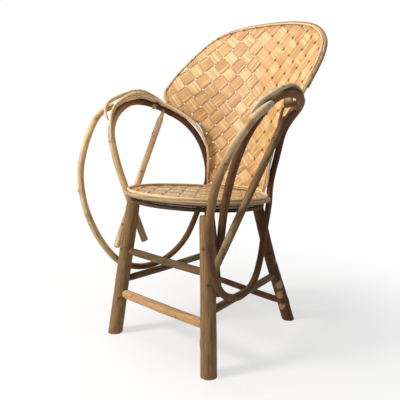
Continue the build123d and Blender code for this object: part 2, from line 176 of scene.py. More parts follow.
# --- materials -----------------------------------------------------------------------
def material(name, paint):
    """A new material whose Principled sockets are fed by a function of its node tree."""
    made = bpy.data.materials.new(name)
    made.use_nodes = True
    net = Net(made.node_tree)
    shader = made.node_tree.nodes["Principled BSDF"]
    for socket, value in paint(net).items():
        if isinstance(value, Flow):
            made.node_tree.links.new(value.socket, shader.inputs[socket])
        else:
            shader.inputs[socket].default_value = value
    return made


def stored(net, name, output):
    """What a piece's mesh holds under that name: output 1 is a vector, 2 a value."""
    return net.add("ShaderNodeAttribute", {"attribute_name": name}, {})[output]


def relief(net, height, distance):
    return net.add("ShaderNodeBump", {}, {"Strength": 1.0, "Distance": distance, "Height": height})[0]


CUT_WOOD = (0.62, 0.40, 0.19)
BARE_WOOD = (0.50, 0.30, 0.13)
SHADE_WARMTH = (1.35, 1.7)  # how much faster green and blue fade than red in the painted shade along a pole


def shaded_along(net, colour, shade_stops):
    """A colour darkened and warmed along the piece with painted shade, by (metres along, share of
    brightness) stops.
    """
    if not shade_stops:
        return colour
    run, lit_share = stored(net, "run", 2), shade_stops[0][1]
    for (start, before), (end, after) in zip(shade_stops, shade_stops[1:]):
        lit_share = (after - before) * run.ramp(start, end) + lit_share
    return net.tint(colour, net.join(lit_share, lit_share ** SHADE_WARMTH[0], lit_share ** SHADE_WARMTH[1]))


def bark(name, deep, middle, pale, bloom, bloom_from=0.55, shade_stops=()):
    """Bark of one kind of pole: streaks along it, cracks, a weathered bloom, knots and bare places.
    Shade stops are (metres along the pole, share of full brightness): painted shade on the stretches of a
    pole that lie in shade."""

    def paint(net):
        place = stored(net, "straight", 1)
        across_x, across_y, _ = place.parts()
        girth = stored(net, "girth", 2)
        knot, bare = stored(net, "knot", 2), stored(net, "bare", 2)
        fibres = net.noise(place, (700.0, 700.0, 22.0), 4.0, 0.65)
        streaks = net.noise(place, (150.0, 150.0, 9.0), 3.0, 0.6)
        patches = net.noise(place, (38.0, 38.0, 11.0), 4.0, 0.6)
        stains = net.noise(place, (22.0, 22.0, 5.0), 2.0, 0.5)
        cracks = abs(net.noise(place, (210.0, 210.0, 10.0), 3.0, 0.6) - 0.5).ramp(0.03, 0.0)
        specks = net.noise(place, (420.0, 420.0, 260.0), 2.0, 0.5).ramp(0.66, 0.74)
        colour = net.mix(0.35 + 0.65 * streaks.ramp(0.28, 0.6), rgba(deep), rgba(middle))
        colour = net.mix(fibres.ramp(0.42, 0.7) * 0.6, colour, rgba(pale))
        weathered = patches.ramp(bloom_from, bloom_from + 0.14) * (0.45 + 0.55 * fibres)
        colour = net.mix(weathered, colour, rgba(bloom))
        colour = net.shade(colour, 0.78 + 0.44 * stains)
        colour = net.mix(cracks * 0.22, colour, dimmed(deep, 0.35))
        colour = net.mix(specks * 0.35, colour, rgba(pale))
        wood = net.mix(fibres.ramp(0.35, 0.7), dimmed(BARE_WOOD, 0.72), rgba(BARE_WOOD))
        colour = net.mix(bare, colour, wood)
        colour = net.mix(knot * 0.85, colour, dimmed(deep, 0.3))
        colour = shaded_along(net, colour, shade_stops)
        distance = (across_x * across_x + across_y * across_y).root()
        cut = (distance / girth).ramp(0.985, 0.95)
        rings = (distance * 3200.0 + 2.2 * streaks).sine() * 0.5 + 0.5
        face = net.mix(rings * 0.45 + 0.3 * fibres, rgba(CUT_WOOD), dimmed(CUT_WOOD, 0.45))
        face = net.mix((distance / girth).ramp(0.14, 0.05), face, dimmed(CUT_WOOD, 0.25))
        colour = net.mix(cut, colour, face)
        height = fibres * 0.55 + streaks * 0.6 - cracks * 0.9 + specks * 0.2 - bare * 0.5
        return {
            "Base Color": colour, "Roughness": 0.8 - 0.12 * bare + 0.12 * (fibres - 0.5),
            "Specular IOR Level": 0.3, "Normal": relief(net, height, 0.00028),
        }

    return material(name, paint)


def split_wood(name, shadow, middle, pale, grey=(0.50, 0.44, 0.34), grey_from=0.56, shade_stops=()):
    """A split and peeled strip: clean streaked wood with a little bark and grey left on it."""

    def paint(net):
        place = stored(net, "straight", 1)
        knot, bare = stored(net, "knot", 2), stored(net, "bare", 2)
        fibres = net.noise(place, (900.0, 900.0, 16.0), 4.0, 0.62)
        streaks = net.noise(place, (190.0, 190.0, 7.0), 3.0, 0.6)
        patches = net.noise(place, (60.0, 60.0, 12.0), 3.0, 0.55)
        spots = net.noise(place, (170.0, 170.0, 90.0), 2.0, 0.5).ramp(0.70, 0.78)
        colour = net.mix(streaks.ramp(0.36, 0.6), rgba(shadow), rgba(middle))
        colour = net.mix(fibres.ramp(0.42, 0.66), colour, rgba(pale))
        colour = net.mix(patches.ramp(grey_from, grey_from + 0.16) * 0.6, colour, rgba(grey))
        colour = net.mix(spots * 0.5, colour, dimmed(shadow, 0.35))
        colour = net.mix(bare * 0.7, colour, dimmed(shadow, 0.45))
        colour = net.mix(knot * 0.8, colour, dimmed(shadow, 0.22))
        colour = shaded_along(net, colour, shade_stops)
        height = fibres * 0.6 + streaks * 0.5 - knot * 0.6 - bare * 0.3
        return {
            "Base Color": colour, "Roughness": 0.62 + 0.2 * (fibres - 0.5), "Specular IOR Level": 0.35,
            "Normal": relief(net, height, 0.0002),
        }

    return material(name, paint)


def splint_wood(name, deep, middle, pale, line, shade=0.85, edges=0.4):
    """Woven splints: fine grain along each, cells from pale to orange, and painted shade where a splint
    dives under another, along its edges and in the holes at the crossings.
    """

    def paint(net):
        place = stored(net, "straight", 1)
        lift, edge = stored(net, "lift", 2), stored(net, "edge", 2)
        grain = net.noise(place, (9.0, 620.0, 40.0), 3.0, 0.6)
        bands = net.noise(place, (5.0, 150.0, 40.0), 2.0, 0.5)
        cells = net.noise(place, (17.0, 9.0, 40.0), 1.0, 0.5)
        flecks = net.noise(place, (60.0, 420.0, 40.0), 2.0, 0.5).ramp(0.68, 0.76)
        ridges = abs(bands - 0.5).ramp(0.035, 0.0)
        colour = net.mix(cells.ramp(0.36, 0.66), rgba(deep), rgba(middle))
        colour = net.mix(bands.ramp(0.46, 0.66) * 0.8, colour, rgba(pale))
        colour = net.mix(grain.ramp(0.5, 0.74) * 0.5, colour, rgba(pale))
        colour = net.mix(ridges * 0.35, colour, dimmed(deep, 0.8))
        colour = net.mix(flecks * 0.25, colour, dimmed(deep, 0.6))
        # the lanes fold over in the right wing's corner, so the painted shade where splints dive under
        # fades out towards it
        object_x, _, object_z = net.add("ShaderNodeTexCoord", {}, {})["Object"].parts()
        unfolded = object_x.ramp(-0.246, -0.222).most(object_z.ramp(0.745, 0.76))
        # painted shade: dark where a splint dives under a splint of the other direction
        below = lift.ramp(0.35, -0.25) * stored(net, "front", 2).ramp(0.6, 0.95) * unfolded
        colour = net.mix(below * shade, colour, rgba(line))
        # painted shade along each splint's side edges
        colour = net.mix(edge.ramp(0.86, 0.97) * edges, colour, dimmed(deep, 0.55))
        # painted shade in the holes at the crossings, only on the object's +x side
        leftward = object_x.ramp(-0.01, 0.06)
        corner = edge.ramp(0.6, 0.86) * (1.0 - abs(lift)).ramp(0.25, 0.75) * leftward
        colour = net.mix(corner * 0.9, colour, dimmed(line, 0.35))
        height = grain * 0.5 + bands * 0.6 - ridges * 0.3
        return {
            "Base Color": colour, "Roughness": 0.5 + 0.22 * (grain - 0.5), "Specular IOR Level": 0.4,
            "Normal": relief(net, height, 0.0006),
        }

    return material(name, paint)


def nail_iron(name):
    def paint(net):
        place = net.add("ShaderNodeTexCoord", {}, {})["Object"]
        rust = net.noise(place, 900.0, 3.0, 0.6)
        return {
            "Base Color": net.mix(rust.ramp(0.45, 0.62), rgba((0.10, 0.09, 0.085)),
                                  rgba((0.13, 0.055, 0.03))),
            "Metallic": 0.85, "Roughness": 0.38 + 0.4 * rust,
        }

    return material(name, paint)


grey_bark = bark("grey_bark", (0.045, 0.021, 0.008), (0.14, 0.080, 0.032), (0.27, 0.17, 0.078),
                 (0.29, 0.21, 0.115))
leg_bark = bark("leg_bark", (0.075, 0.037, 0.013), (0.23, 0.133, 0.053), (0.40, 0.255, 0.115),
                (0.36, 0.255, 0.14), bloom_from=0.58)
red_bark = bark("red_bark", (0.030, 0.010, 0.004), (0.10, 0.040, 0.014), (0.20, 0.095, 0.038),
                (0.26, 0.16, 0.08), bloom_from=0.66)
# near-black bark: painted shadow for the thin fillers put in shaded gaps between parts
dark_bark = bark("dark_bark", (0.012, 0.006, 0.003), (0.03, 0.015, 0.008), (0.05, 0.03, 0.018),
                 (0.05, 0.03, 0.02))
tan_bark = bark("tan_bark", (0.26, 0.125, 0.048), (0.52, 0.29, 0.13), (0.68, 0.45, 0.24),
                (0.62, 0.45, 0.27))
hoop_bark = bark("hoop_bark", (0.045, 0.020, 0.007), (0.17, 0.092, 0.034), (0.34, 0.21, 0.095),
                 (0.40, 0.29, 0.155), bloom_from=0.52)
PALE_POLE = ((0.30, 0.17, 0.075), (0.60, 0.39, 0.19), (0.78, 0.57, 0.33), (0.74, 0.57, 0.36))
BLEACHED_POLE = ((0.28, 0.17, 0.085), (0.56, 0.40, 0.22), (0.74, 0.58, 0.37), (0.74, 0.62, 0.44))
# the loops' stops are painted shade: they darken the stretches of each loop that lie in shade, behind the
# seat and under the arm
loop_bark_right = bark("loop_bark_right", *PALE_POLE, shade_stops=(
    (0.0, 1.15), (0.45, 1.1), (0.56, 0.8), (0.63, 0.34), (0.85, 0.32), (0.95, 0.25), (1.2, 0.2),
    (1.36, 0.24), (1.46, 0.4), (1.54, 1.0)))
loop_bark_left = bark("loop_bark_left", *BLEACHED_POLE, shade_stops=(
    (0.0, 1.1), (0.14, 0.95), (0.26, 0.42), (0.42, 0.22), (0.54, 0.22), (0.60, 0.2), (0.85, 0.2),
    (1.2, 0.1), (1.28, 0.16), (1.36, 0.4), (1.48, 0.36), (1.56, 0.2)))
# the stops are painted shade: they darken the strut's tongue where it lies in the arm's shade
strut_bark = bark("strut_bark", (0.065, 0.033, 0.013), (0.19, 0.115, 0.047), (0.33, 0.22, 0.105),
                  (0.33, 0.25, 0.14), shade_stops=((0.0, 1.1), (0.38, 0.85), (0.44, 0.28)))
# bark darkened towards black: painted shade for the rings that lie under the seat's rim
ring_bark = bark("ring_bark", (0.022, 0.010, 0.004), (0.07, 0.037, 0.016), (0.13, 0.08, 0.04),
                 (0.15, 0.10, 0.055))
rim_bark = bark("rim_bark", (0.13, 0.055, 0.022), (0.32, 0.165, 0.075), (0.46, 0.27, 0.14),
                (0.40, 0.26, 0.15))
peeled = split_wood("peeled_wood", (0.48, 0.33, 0.17), (0.66, 0.49, 0.28), (0.78, 0.63, 0.42),
                    (0.54, 0.43, 0.29))
straw_bark = bark("straw_bark", (0.50, 0.30, 0.14), (0.80, 0.54, 0.29), (0.90, 0.68, 0.42),
                  (0.88, 0.70, 0.46))
BLEACHED_WOOD = ((0.50, 0.37, 0.21), (0.64, 0.50, 0.32), (0.72, 0.60, 0.42), (0.52, 0.42, 0.29))
bleached = split_wood("bleached_wood", *BLEACHED_WOOD)
shaded_strip = split_wood("shaded_strip_wood", *BLEACHED_WOOD,
                          shade_stops=((0.0, 0.85), (0.09, 0.8), (0.14, 0.3), (0.27, 0.2), (0.36, 1.0)))
INNER_WOOD = {"left": shaded_strip, "right": peeled}
STRIP_WOOD = {"left": bleached, "right": peeled}
rim_wood = split_wood("rim_wood", (0.17, 0.095, 0.04), (0.34, 0.21, 0.10), (0.54, 0.37, 0.19),
                      (0.24, 0.18, 0.11), 0.50)
# colour of the painted shade where a splint dives under another and in the holes at the crossings
UNDER_SHADE = (0.085, 0.030, 0.028)
back_splint = splint_wood("back_splint", (0.52, 0.29, 0.105), (0.66, 0.41, 0.17), (0.80, 0.58, 0.31), UNDER_SHADE)
back_splint_warm = splint_wood(
    "back_splint_warm", (0.46, 0.225, 0.068), (0.58, 0.325, 0.115), (0.71, 0.46, 0.215), UNDER_SHADE, 0.22)
seat_splint = splint_wood("seat_splint", (0.40, 0.235, 0.10), (0.54, 0.35, 0.16), (0.70, 0.51, 0.28), UNDER_SHADE,
                          0.9, 0.75)
seat_splint_warm = splint_wood("seat_splint_warm", (0.36, 0.20, 0.075), (0.48, 0.29, 0.12),
                               (0.62, 0.42, 0.20), UNDER_SHADE, 0.6, 0.75)
border_wood = split_wood("border_wood", (0.50, 0.33, 0.15), (0.70, 0.50, 0.26), (0.86, 0.70, 0.46),
                         (0.60, 0.50, 0.36), 0.6)
iron = nail_iron("nail_iron")


# --- paths ---------------------------------------------------------------------------
POINT_STEP = 3.0  # mm between the points of a pole's line
BEND_SHARE = 0.45  # of the shorter run beside a corner, taken up by its bend
BEND_STEPS = 12


def row_point(*point):
    """A point in mm from the makers' origin, as metres in the row frame."""
    return (np.array(point, float) + ROW_SHIFT) * MM


def unit(vectors):
    vectors = np.asarray(vectors, float)
    return vectors / np.linalg.norm(vectors, axis=-1, keepdims=True)


def evenly(line, step):
    """Points about that far apart along a polyline."""
    runs = np.linalg.norm(np.diff(line, axis=0), axis=1)
    at = np.concatenate([[0.0], np.cumsum(runs)])
    wanted = np.linspace(0.0, at[-1], max(3, int(round(at[-1] / step)) + 1))
    return np.stack([np.interp(wanted, at, line[:, k]) for k in range(3)], axis=1)


def eased(line, passes):
    """A polyline with its bends softened and its ends kept."""
    line = line.copy()
    for _ in range(passes):
        line[1:-1] += 0.25 * (line[2:] - 2 * line[1:-1] + line[:-2])
    return line


def bent(route, side, passes=14):
    """The middle line of a pole: straight runs and arcs between route points, in the row frame."""
    corners = [np.array([side * x, y, z], float) for x, y, z in route]
    line = [corners[0]]
    for before, corner, after in zip(corners, corners[1:], corners[2:]):
        arriving, leaving = unit(corner - before), unit(after - corner)
        reach = BEND_SHARE * min(np.linalg.norm(corner - before), np.linalg.norm(after - corner))
        turn = np.arccos(np.clip(arriving @ leaving, -1, 1))
        inward = unit(leaving - (arriving @ leaving) * arriving)
        radius = reach / tan(turn / 2)
        for i in range(BEND_STEPS + 1):
            a = turn * i / BEND_STEPS
            line.append(corner - arriving * reach + arriving * radius * sin(a)
                        + inward * radius * (1 - cos(a)))
    line.append(corners[-1])
    line = eased(evenly(np.array(line), POINT_STEP), passes)
    return (line + ROW_SHIFT) * MM


def tangents(line):
    return unit(np.gradient(line, axis=0))


def outwards(line, towards, closed=False):
    """A direction square to a line at each point, leaning towards a given one and never flipping."""
    along = tangents(line)
    towards = np.asarray(towards, float)
    if towards.ndim == 2:
        return unit(towards - (towards * along).sum(1, keepdims=True) * along)
    found, last = [], unit(towards + 1e-3)
    for step in along:
        seen = towards - (towards @ step) * step if closed else last - (last @ step) * step
        last = unit(seen)
        found.append(last)
    return np.array(found)


def tapered(line, *stops):
    """A radius in metres at each point of a line, from (share of its length, diameter in mm) stops."""
    runs = np.linalg.norm(np.diff(line, axis=0), axis=1)
    at = np.concatenate([[0.0], np.cumsum(runs)]) / runs.sum()
    shares, diameters = zip(*stops)
    return np.interp(at, shares, diameters) * MM / 2


def square_to(along, towards):
    """A direction turned square to a line, on the side it points to."""
    return unit(towards - (towards @ along) * along)


def on_skin(line, girth, share, towards):
    """A place on a pole's skin, on the side that faces a direction."""
    k = int(round(share * (len(line) - 1)))
    outward = square_to(tangents(line)[k], np.array(towards, float))
    return line[k] + outward * np.broadcast_to(girth, len(line))[k]


# --- geometry trees ------------------------------------------------------------------
def geometry_net(name, inputs):
    """A geometry node tree with named inputs, and a function that reads them."""
    tree = bpy.data.node_groups.new(name, "GeometryNodeTree")
    tree.interface.new_socket("Geometry", in_out="INPUT", socket_type="NodeSocketGeometry")
    tree.interface.new_socket("Geometry", in_out="OUTPUT", socket_type="NodeSocketGeometry")
    for label, kind in inputs:
        tree.interface.new_socket(label, in_out="INPUT", socket_type="NodeSocket" + kind)
    net = Net(tree)
    return tree, net, net.add("NodeGroupInput", {}, {})


def closing(net, geometry, coat):
    """The end of every tree: real geometry with its material."""
    real = net.add("GeometryNodeRealizeInstances", {}, {"Geometry": geometry})[0]
    done = net.add("GeometryNodeSetMaterial", {}, {"Geometry": real, "Material": coat})[0]
    net.add("NodeGroupOutput", {}, {0: done})


def named(net, name, kind="FLOAT"):
    return net.add("GeometryNodeInputNamedAttribute", {"data_type": kind}, {"Name": name})["Attribute"]


def keep(net, geometry, name, value, kind="FLOAT"):
    settings = {"data_type": kind, "domain": "POINT"}
    inputs = {"Geometry": geometry, "Name": name, "Value": value}
    return net.add("GeometryNodeStoreNamedAttribute", settings, inputs)[0]


def distance_to(net, marks):
    """How far each point is from the nearest mark of another object."""
    info = net.add("GeometryNodeObjectInfo", {"transform_space": "RELATIVE"}, {"Object": marks})
    near = net.add("GeometryNodeProximity", {"target_element": "POINTS"}, {0: info["Geometry"]})
    return near["Distance"]


def pole_tree():
    """A pole or strip swept along a line of points that carry girth and outward."""
    tree, net, given = geometry_net("pole", [
        ("Sides", "Int"), ("Width", "Float"), ("Depth", "Float"), ("Squareness", "Float"),
        ("Grain Relief", "Float"), ("Lumps", "Float"), ("Knots", "Object"), ("Knot Size", "Float"),
        ("Bare Places", "Object"), ("Bare Size", "Float"), ("Seed", "Float"), ("Finish", "Material"),
    ])
    rail = net.add("GeometryNodeMeshToCurve", {}, {"Mesh": given["Geometry"]})[0]
    length = net.add("GeometryNodeSplineParameter", {}, {})["Length"]
    rail = keep(net, rail, "run", length)
    rail = net.add("GeometryNodeSetCurveNormal", {"mode": "FREE"},
                   {"Curve": rail, "Normal": named(net, "outward", "FLOAT_VECTOR")})[0]
    ring = net.add("GeometryNodeCurvePrimitiveCircle", {"mode": "RADIUS"},
                   {"Resolution": given["Sides"], "Radius": 1.0})[0]
    x, y, _ = net.add("GeometryNodeInputPosition", {}, {})[0].parts()
    ring = keep(net, ring, "ring_x", x)
    ring = keep(net, ring, "ring_y", y)
    # a rounder or squarer section, wide across and thin outwards
    fuller = 1.0 + given["Squareness"] * (2.0 * x * y) * (2.0 * x * y)
    ring = net.add("GeometryNodeSetPosition", {}, {
        "Geometry": ring, "Position": net.join(x * fuller * given["Width"], y * fuller * given["Depth"],
                                               0.0)})[0]
    swept = net.add("GeometryNodeCurveToMesh", {}, {
        "Curve": rail, "Profile Curve": ring, "Scale": named(net, "girth"), "Fill Caps": True})[0]
    girth, ring_x, ring_y = named(net, "girth"), named(net, "ring_x"), named(net, "ring_y")
    place = net.join(ring_x * girth, ring_y * girth, named(net, "run") + given["Seed"] * 1.37)
    swept = keep(net, swept, "straight", place, "FLOAT_VECTOR")
    straight = named(net, "straight", "FLOAT_VECTOR")
    knot_away, bare_away = distance_to(net, given["Knots"]), distance_to(net, given["Bare Places"])
    ragged = net.noise(straight, (90.0, 90.0, 35.0), 3.0, 0.6)
    swept = keep(net, swept, "knot", (knot_away / given["Knot Size"]).bell(0.42))
    swept = keep(net, swept, "bare", (bare_away / given["Bare Size"] + 3.0 * (ragged - 0.5)).ramp(1.0, 0.7))
    lump = net.noise(straight, (24.0, 24.0, 13.0), 2.0, 0.5) - 0.5
    grain = net.noise(straight, (330.0, 330.0, 16.0), 3.0, 0.6) - 0.5
    rise = girth * given["Lumps"] * lump + given["Grain Relief"] * grain
    rise = rise + 0.22 * given["Knot Size"] * (knot_away / given["Knot Size"]).bell(0.9)
    rise = rise - 0.3 * given["Knot Size"] * (knot_away / given["Knot Size"]).bell(0.28)
    rise = rise - 0.0004 * named(net, "bare")
    normal = net.add("GeometryNodeInputNormal", {}, {})[0]
    swept = net.add("GeometryNodeSetPosition", {}, {
        "Geometry": swept, "Offset": normal.vector("SCALE", rise)})[0]
    # nothing goes below the floor: a foot is cut level
    x, y, z = net.add("GeometryNodeInputPosition", {}, {})[0].parts()
    swept = net.add("GeometryNodeSetPosition", {}, {
        "Geometry": swept, "Position": net.join(x, y, z.most(0.0))})[0]
    swept = net.add("GeometryNodeSetShadeSmooth", {}, {"Geometry": swept})[0]
    closing(net, swept, given["Finish"])
    return tree


POLE = pole_tree()


def set_inputs(modifier, values):
    for item in modifier.node_group.interface.items_tree:
        if item.item_type == "SOCKET" and item.in_out == "INPUT" and item.name in values:
            modifier[item.identifier] = values[item.name]


def points_object(name, points, links=(), **attributes):
    """A mesh of loose points and edges that a tree reads."""
    mesh = bpy.data.meshes.new(name)
    mesh.from_pydata([tuple(p) for p in points], list(links), [])
    for label, values in attributes.items():
        values = np.asarray(values, np.float32)
        kind = "FLOAT_VECTOR" if values.ndim == 2 else "FLOAT"
        layer = mesh.attributes.new(label, kind, "POINT")
        layer.data.foreach_set("vector" if values.ndim == 2 else "value", values.ravel())
    return placed(name, mesh)


def grown(name, source, tree, values, helpers=()):
    """The plain mesh that a tree makes from a source object."""
    modifier = source.modifiers.new("grow", "NODES")
    modifier.node_group = tree
    set_inputs(modifier, values)
    bpy.context.view_layer.update()
    evaluated = source.evaluated_get(bpy.context.evaluated_depsgraph_get())
    mesh = bpy.data.meshes.new_from_object(evaluated, preserve_all_data_layers=True,
                                           depsgraph=bpy.context.evaluated_depsgraph_get())
    mesh.name = name
    for helper in (source, *helpers):
        bpy.data.objects.remove(helper)
    return placed(name, mesh)


def settle(made, nodes):
    """Puts a finished piece on the chair's one body and in its nodes' place."""
    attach(made, "root")
    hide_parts(*nodes)


NOWHERE = [(0.0, 0.0, -9.0)]


def pole(name, nodes, line, girth, finish, slot, outward=(0.0, 0.0, 1.0), sides=28, width=1.0, depth=1.0,
         square=0.0, grain=0.0003, lumps=0.08, knots=(), knot_size=0.008, bare=(), bare_size=0.02,
         seed=0.0, closed=False, blunt=0.0022):
    """One pole, rod or strip. Knots and bare places are (share of the length, direction they face)."""
    girth = np.array(np.broadcast_to(girth, len(line)), float)
    marks = [on_skin(line, girth, *k) for k in knots] or NOWHERE
    spots = [on_skin(line, girth, *b) for b in bare] or NOWHERE
    if not closed and blunt:
        # worn arrises: two close rings of smaller girth at each end
        along = tangents(line)
        head = np.array([line[0], line[0] + along[0] * blunt * 0.45, line[0] + along[0] * blunt * 1.3])
        tail = np.array([line[-1] - along[-1] * blunt * 1.3, line[-1] - along[-1] * blunt * 0.45, line[-1]])
        line = np.concatenate([head, line[1:-1], tail])
        first, last = girth[0], girth[-1]
        if np.ndim(outward) == 2:
            outward = np.concatenate([outward[:1], outward[:1], outward, outward[-1:], outward[-1:]])
        girth = np.concatenate([[first - blunt, first - 0.35 * blunt, first], girth[1:-1],
                                [last, last - 0.35 * blunt, last - blunt]])
    count = len(line)
    links = [(i, i + 1) for i in range(count - 1)] + ([(count - 1, 0)] if closed else [])
    source = points_object(name + "_line", line, links, girth=girth,
                           outward=outwards(line, outward, closed))
    knot_marks, bare_marks = points_object("marks", marks), points_object("spots", spots)
    made = grown(name, source, POLE, {
        "Sides": sides, "Width": width, "Depth": depth, "Squareness": square, "Grain Relief": grain,
        "Lumps": lumps, "Knots": knot_marks, "Knot Size": knot_size, "Bare Places": bare_marks,
        "Bare Size": bare_size, "Seed": seed, "Finish": finish}, (knot_marks, bare_marks))
    settle(made, nodes)


# --- sizes shared with the frame, in mm ----------------------------------------------
SEAT_CENTRE_Y, SEAT_HEIGHT, SEAT_TILT = -28.0, 431.0, radians(4.5)
WEAVE_RADIUS, RING_RADIUS = 192.0, 185.0
HOOP_POINTS = 220
LEG_TOP_DEPTH = 41.0  # from the rim's top down to where a leg's middle line ends
FRONT_FOOT_X, FRONT_FOOT_Y, FRONT_TOP_X, REAR_TOP_X = 188.0, -192.0, 141.0, 99.0
FOOT_OVERRUN = 0.02  # of a front leg's height, below the floor until it is cut level
LEG_BOW = 1.5  # outwards, at a front leg's middle
SOCKET_DEPTH = 7.0  # that a stretcher's end lies inside the leg's skin
SAG = np.array([0.0, 0.0, -0.0012])  # of a stretcher's middle, in metres
ARM_ROUTE = (
    (289, -92, 672), (293, -131, 660), (285, -167, 633), (267, -218, 565), (251, -254, 480),
    (236, -250, 380), (217, -217, 283), (202, -158, 203), (191, -75, 171), (174, 12, 184),
    (152, 74, 236), (138, 108, 306), (130, 143, 388), (122, 155, 432), (128, 161, 480),
    (146, 159, 540), (168, 141, 591), (205, 119, 632), (259, 81, 666), (287, 43, 684),
    (294, 4, 699), (279, -29, 698), (268, -68, 677), (267, -112, 643), (250, -140, 594),
    (219, -146, 515), (187, -136, 424), (144, -105, 273),
)
ARM_TOPS = {"left": ARM_ROUTE[20:24],
            "right": ((289, 5, 687), (282, -35, 685), (273, -75, 667), (265, -111, 641))}
STRUT_ROUTE = ((187, -180, 261), (212, -60, 458), (234, 52, 636))
STRUT_TONGUE_END = (252, 84, 664)
INNER_STRIP_ROUTES = {"left": (
    (118, 144, 436), (121, 146, 456), (123, 147, 478), (127, 142, 505), (133, 139, 533), (143, 137, 562),
    (156, 130, 589), (171, 120, 616), (184, 106, 638),
    (196, 96, 657), (219, 76, 675), (249, 53, 689), (268, 36, 700), (273, -1, 708), (266, -28, 705),
    (262, -54, 693), (260, -78, 680), (262, -105, 665), (258, -124, 647), (253, -138, 627),
    (248, -150, 608), (243, -156, 590),
), "right": (
    (117, 146, 433), (114, 146, 455), (110, 145, 480), (111, 146, 508), (119, 149, 542), (130, 146, 569),
    (143, 139, 597), (162, 127, 622),
    (184, 113, 641), (208, 96, 659), (233, 78, 674), (254, 60, 687), (266, 40, 697), (272, 15, 705),
    (268, -15, 707), (258, -50, 701), (257, -79, 692), (259, -103, 679), (257, -121, 663),
    (252, -133, 643), (244, -142, 620), (235, -149, 598), (227, -154, 574),
)}
OUTER_STRIP_ROUTES = {"left": (
    (262, 86, 676), (275, 66, 693), (281, 44, 706), (283, 14, 716), (286, -18, 716), (284, -43, 710),
    (283, -71, 699), (280, -96, 689), (277, -116, 679), (273, -131, 666), (268, -144, 650),
), "right": (
    (248, 92, 678), (271, 68, 698), (281, 42, 713), (283, 13, 721), (284, -16, 719), (284, -45, 711),
    (286, -77, 700), (283, -109, 689), (279, -130, 675), (273, -141, 661), (262, -145, 644),
    (251, -144, 628),
)}
CLEAT_ROUTE = ((241, 28, 670), (263, 60, 675))
REAR_LEG_ROUTE = ((150, 241, -7), (131, 204, 117), (115, 172, 218))


def on_lower_ring(x, rearward):
    """Where a leg's middle meets the lower ring."""
    y = SEAT_CENTRE_Y + (1 if rearward else -1) * sqrt(RING_RADIUS**2 - x * x)
    return (x, y, SEAT_HEIGHT - LEG_TOP_DEPTH - (y - SEAT_CENTRE_Y) * tan(SEAT_TILT))


def seat_point(x, y, depth):
    """A point given along the tilted seat, that deep under the rim's top, in the row frame."""
    return row_point(x, SEAT_CENTRE_Y + y * cos(SEAT_TILT) - depth * sin(SEAT_TILT),
                     SEAT_HEIGHT - y * sin(SEAT_TILT) - depth * cos(SEAT_TILT))


def seat_circle(radius, depth):
    turns = np.linspace(0, 2 * pi, HOOP_POINTS, endpoint=False)
    return np.array([seat_point(radius * cos(t), radius * sin(t), depth) for t in turns])


SEAT_UP = np.array([0.0, sin(SEAT_TILT), cos(SEAT_TILT)])

# --- legs ----------------------------------------------------------------------------
FRONT_KNOTS = {"left": ((0.22, (-1, -1, 0)), (0.58, (1, -1, 0)), (0.8, (0.2, -1, 0))),
               "right": ((0.3, (1, -1, 0)), (0.66, (0, -1, 0)))}
REAR_KNOTS = {"left": ((0.3, (0, -1, 0)), (0.62, (1, -1, 0)), (0.18, (1, 1, 0))),
              "right": ((0.4, (-1, 1, 0)), (0.7, (0, 1, 0)))}
leg_axes = {}
for side, sign in SIDES.items():
    top = on_lower_ring(FRONT_TOP_X, False)
    foot = (FRONT_FOOT_X + FOOT_OVERRUN * (FRONT_FOOT_X - top[0]),
            FRONT_FOOT_Y - FOOT_OVERRUN * (top[1] - FRONT_FOOT_Y), -FOOT_OVERRUN * top[2])
    middle = ((FRONT_FOOT_X + top[0]) / 2 + LEG_BOW, (FRONT_FOOT_Y + top[1]) / 2, top[2] / 2)
    line = bent((foot, middle, top), sign)
    leg_axes["front", side] = line
    girth = tapered(line, (0, 42.6), (0.3, 41.4), (0.7, 40.0), (0.97, 38.6), (1, 34.5))
    pole("front_leg_skin_" + side, ["front_leg_" + side], line, girth, leg_bark, "weathered_pole",
         knots=FRONT_KNOTS[side], knot_size=0.011, lumps=0.075, seed=3.0 + sign, sides=36)
    line = bent((*REAR_LEG_ROUTE, on_lower_ring(REAR_TOP_X, True)), sign)
    leg_axes["rear", side] = line
    girth = tapered(line, (0, 37.0), (0.3, 35.0), (0.6, 33.6), (1, 32.4))
    pole("rear_leg_skin_" + side, ["rear_leg_" + side], line, girth, red_bark, "dark_pole",
         knots=REAR_KNOTS[side], knot_size=0.01, lumps=0.09, seed=9.0 + sign, sides=32,
         bare=((0.27, (0.6, -1, 0)), (0.34, (0.9, -0.5, 0)), (0.16, (0.3, -1, 0)), (0.55, (1, 0.4, 0))),
         bare_size=0.013)


def at_height(line, height):
    return line[np.argmin(abs(line[:, 2] - height * MM))]


def stretcher(name, node, start, end, diameter, leg_diameter, finish, slot, **more):
    """A stretcher with rounded shoulders that slip into the legs."""
    inset = (leg_diameter / 2 - SOCKET_DEPTH) * MM
    ahead = unit(end - start)
    start, end = start + ahead * inset, end - ahead * inset
    line = eased(evenly(np.array([start, (start + end) / 2 + SAG, end]), 0.003), 20)
    run = np.linalg.norm(end - start) / MM
    stops = [(0, 0.55), (4 / run, 0.72), (9 / run, 0.88), (16 / run, 0.97), (26 / run, 1.0), (0.5, 1.02)]
    stops += [(1 - s, d) for s, d in reversed(stops[:-1])]
    girth = tapered(line, *[(s, d * diameter) for s, d in stops])
    pole(name, [node], line, girth, finish, slot, blunt=0.001, **more)


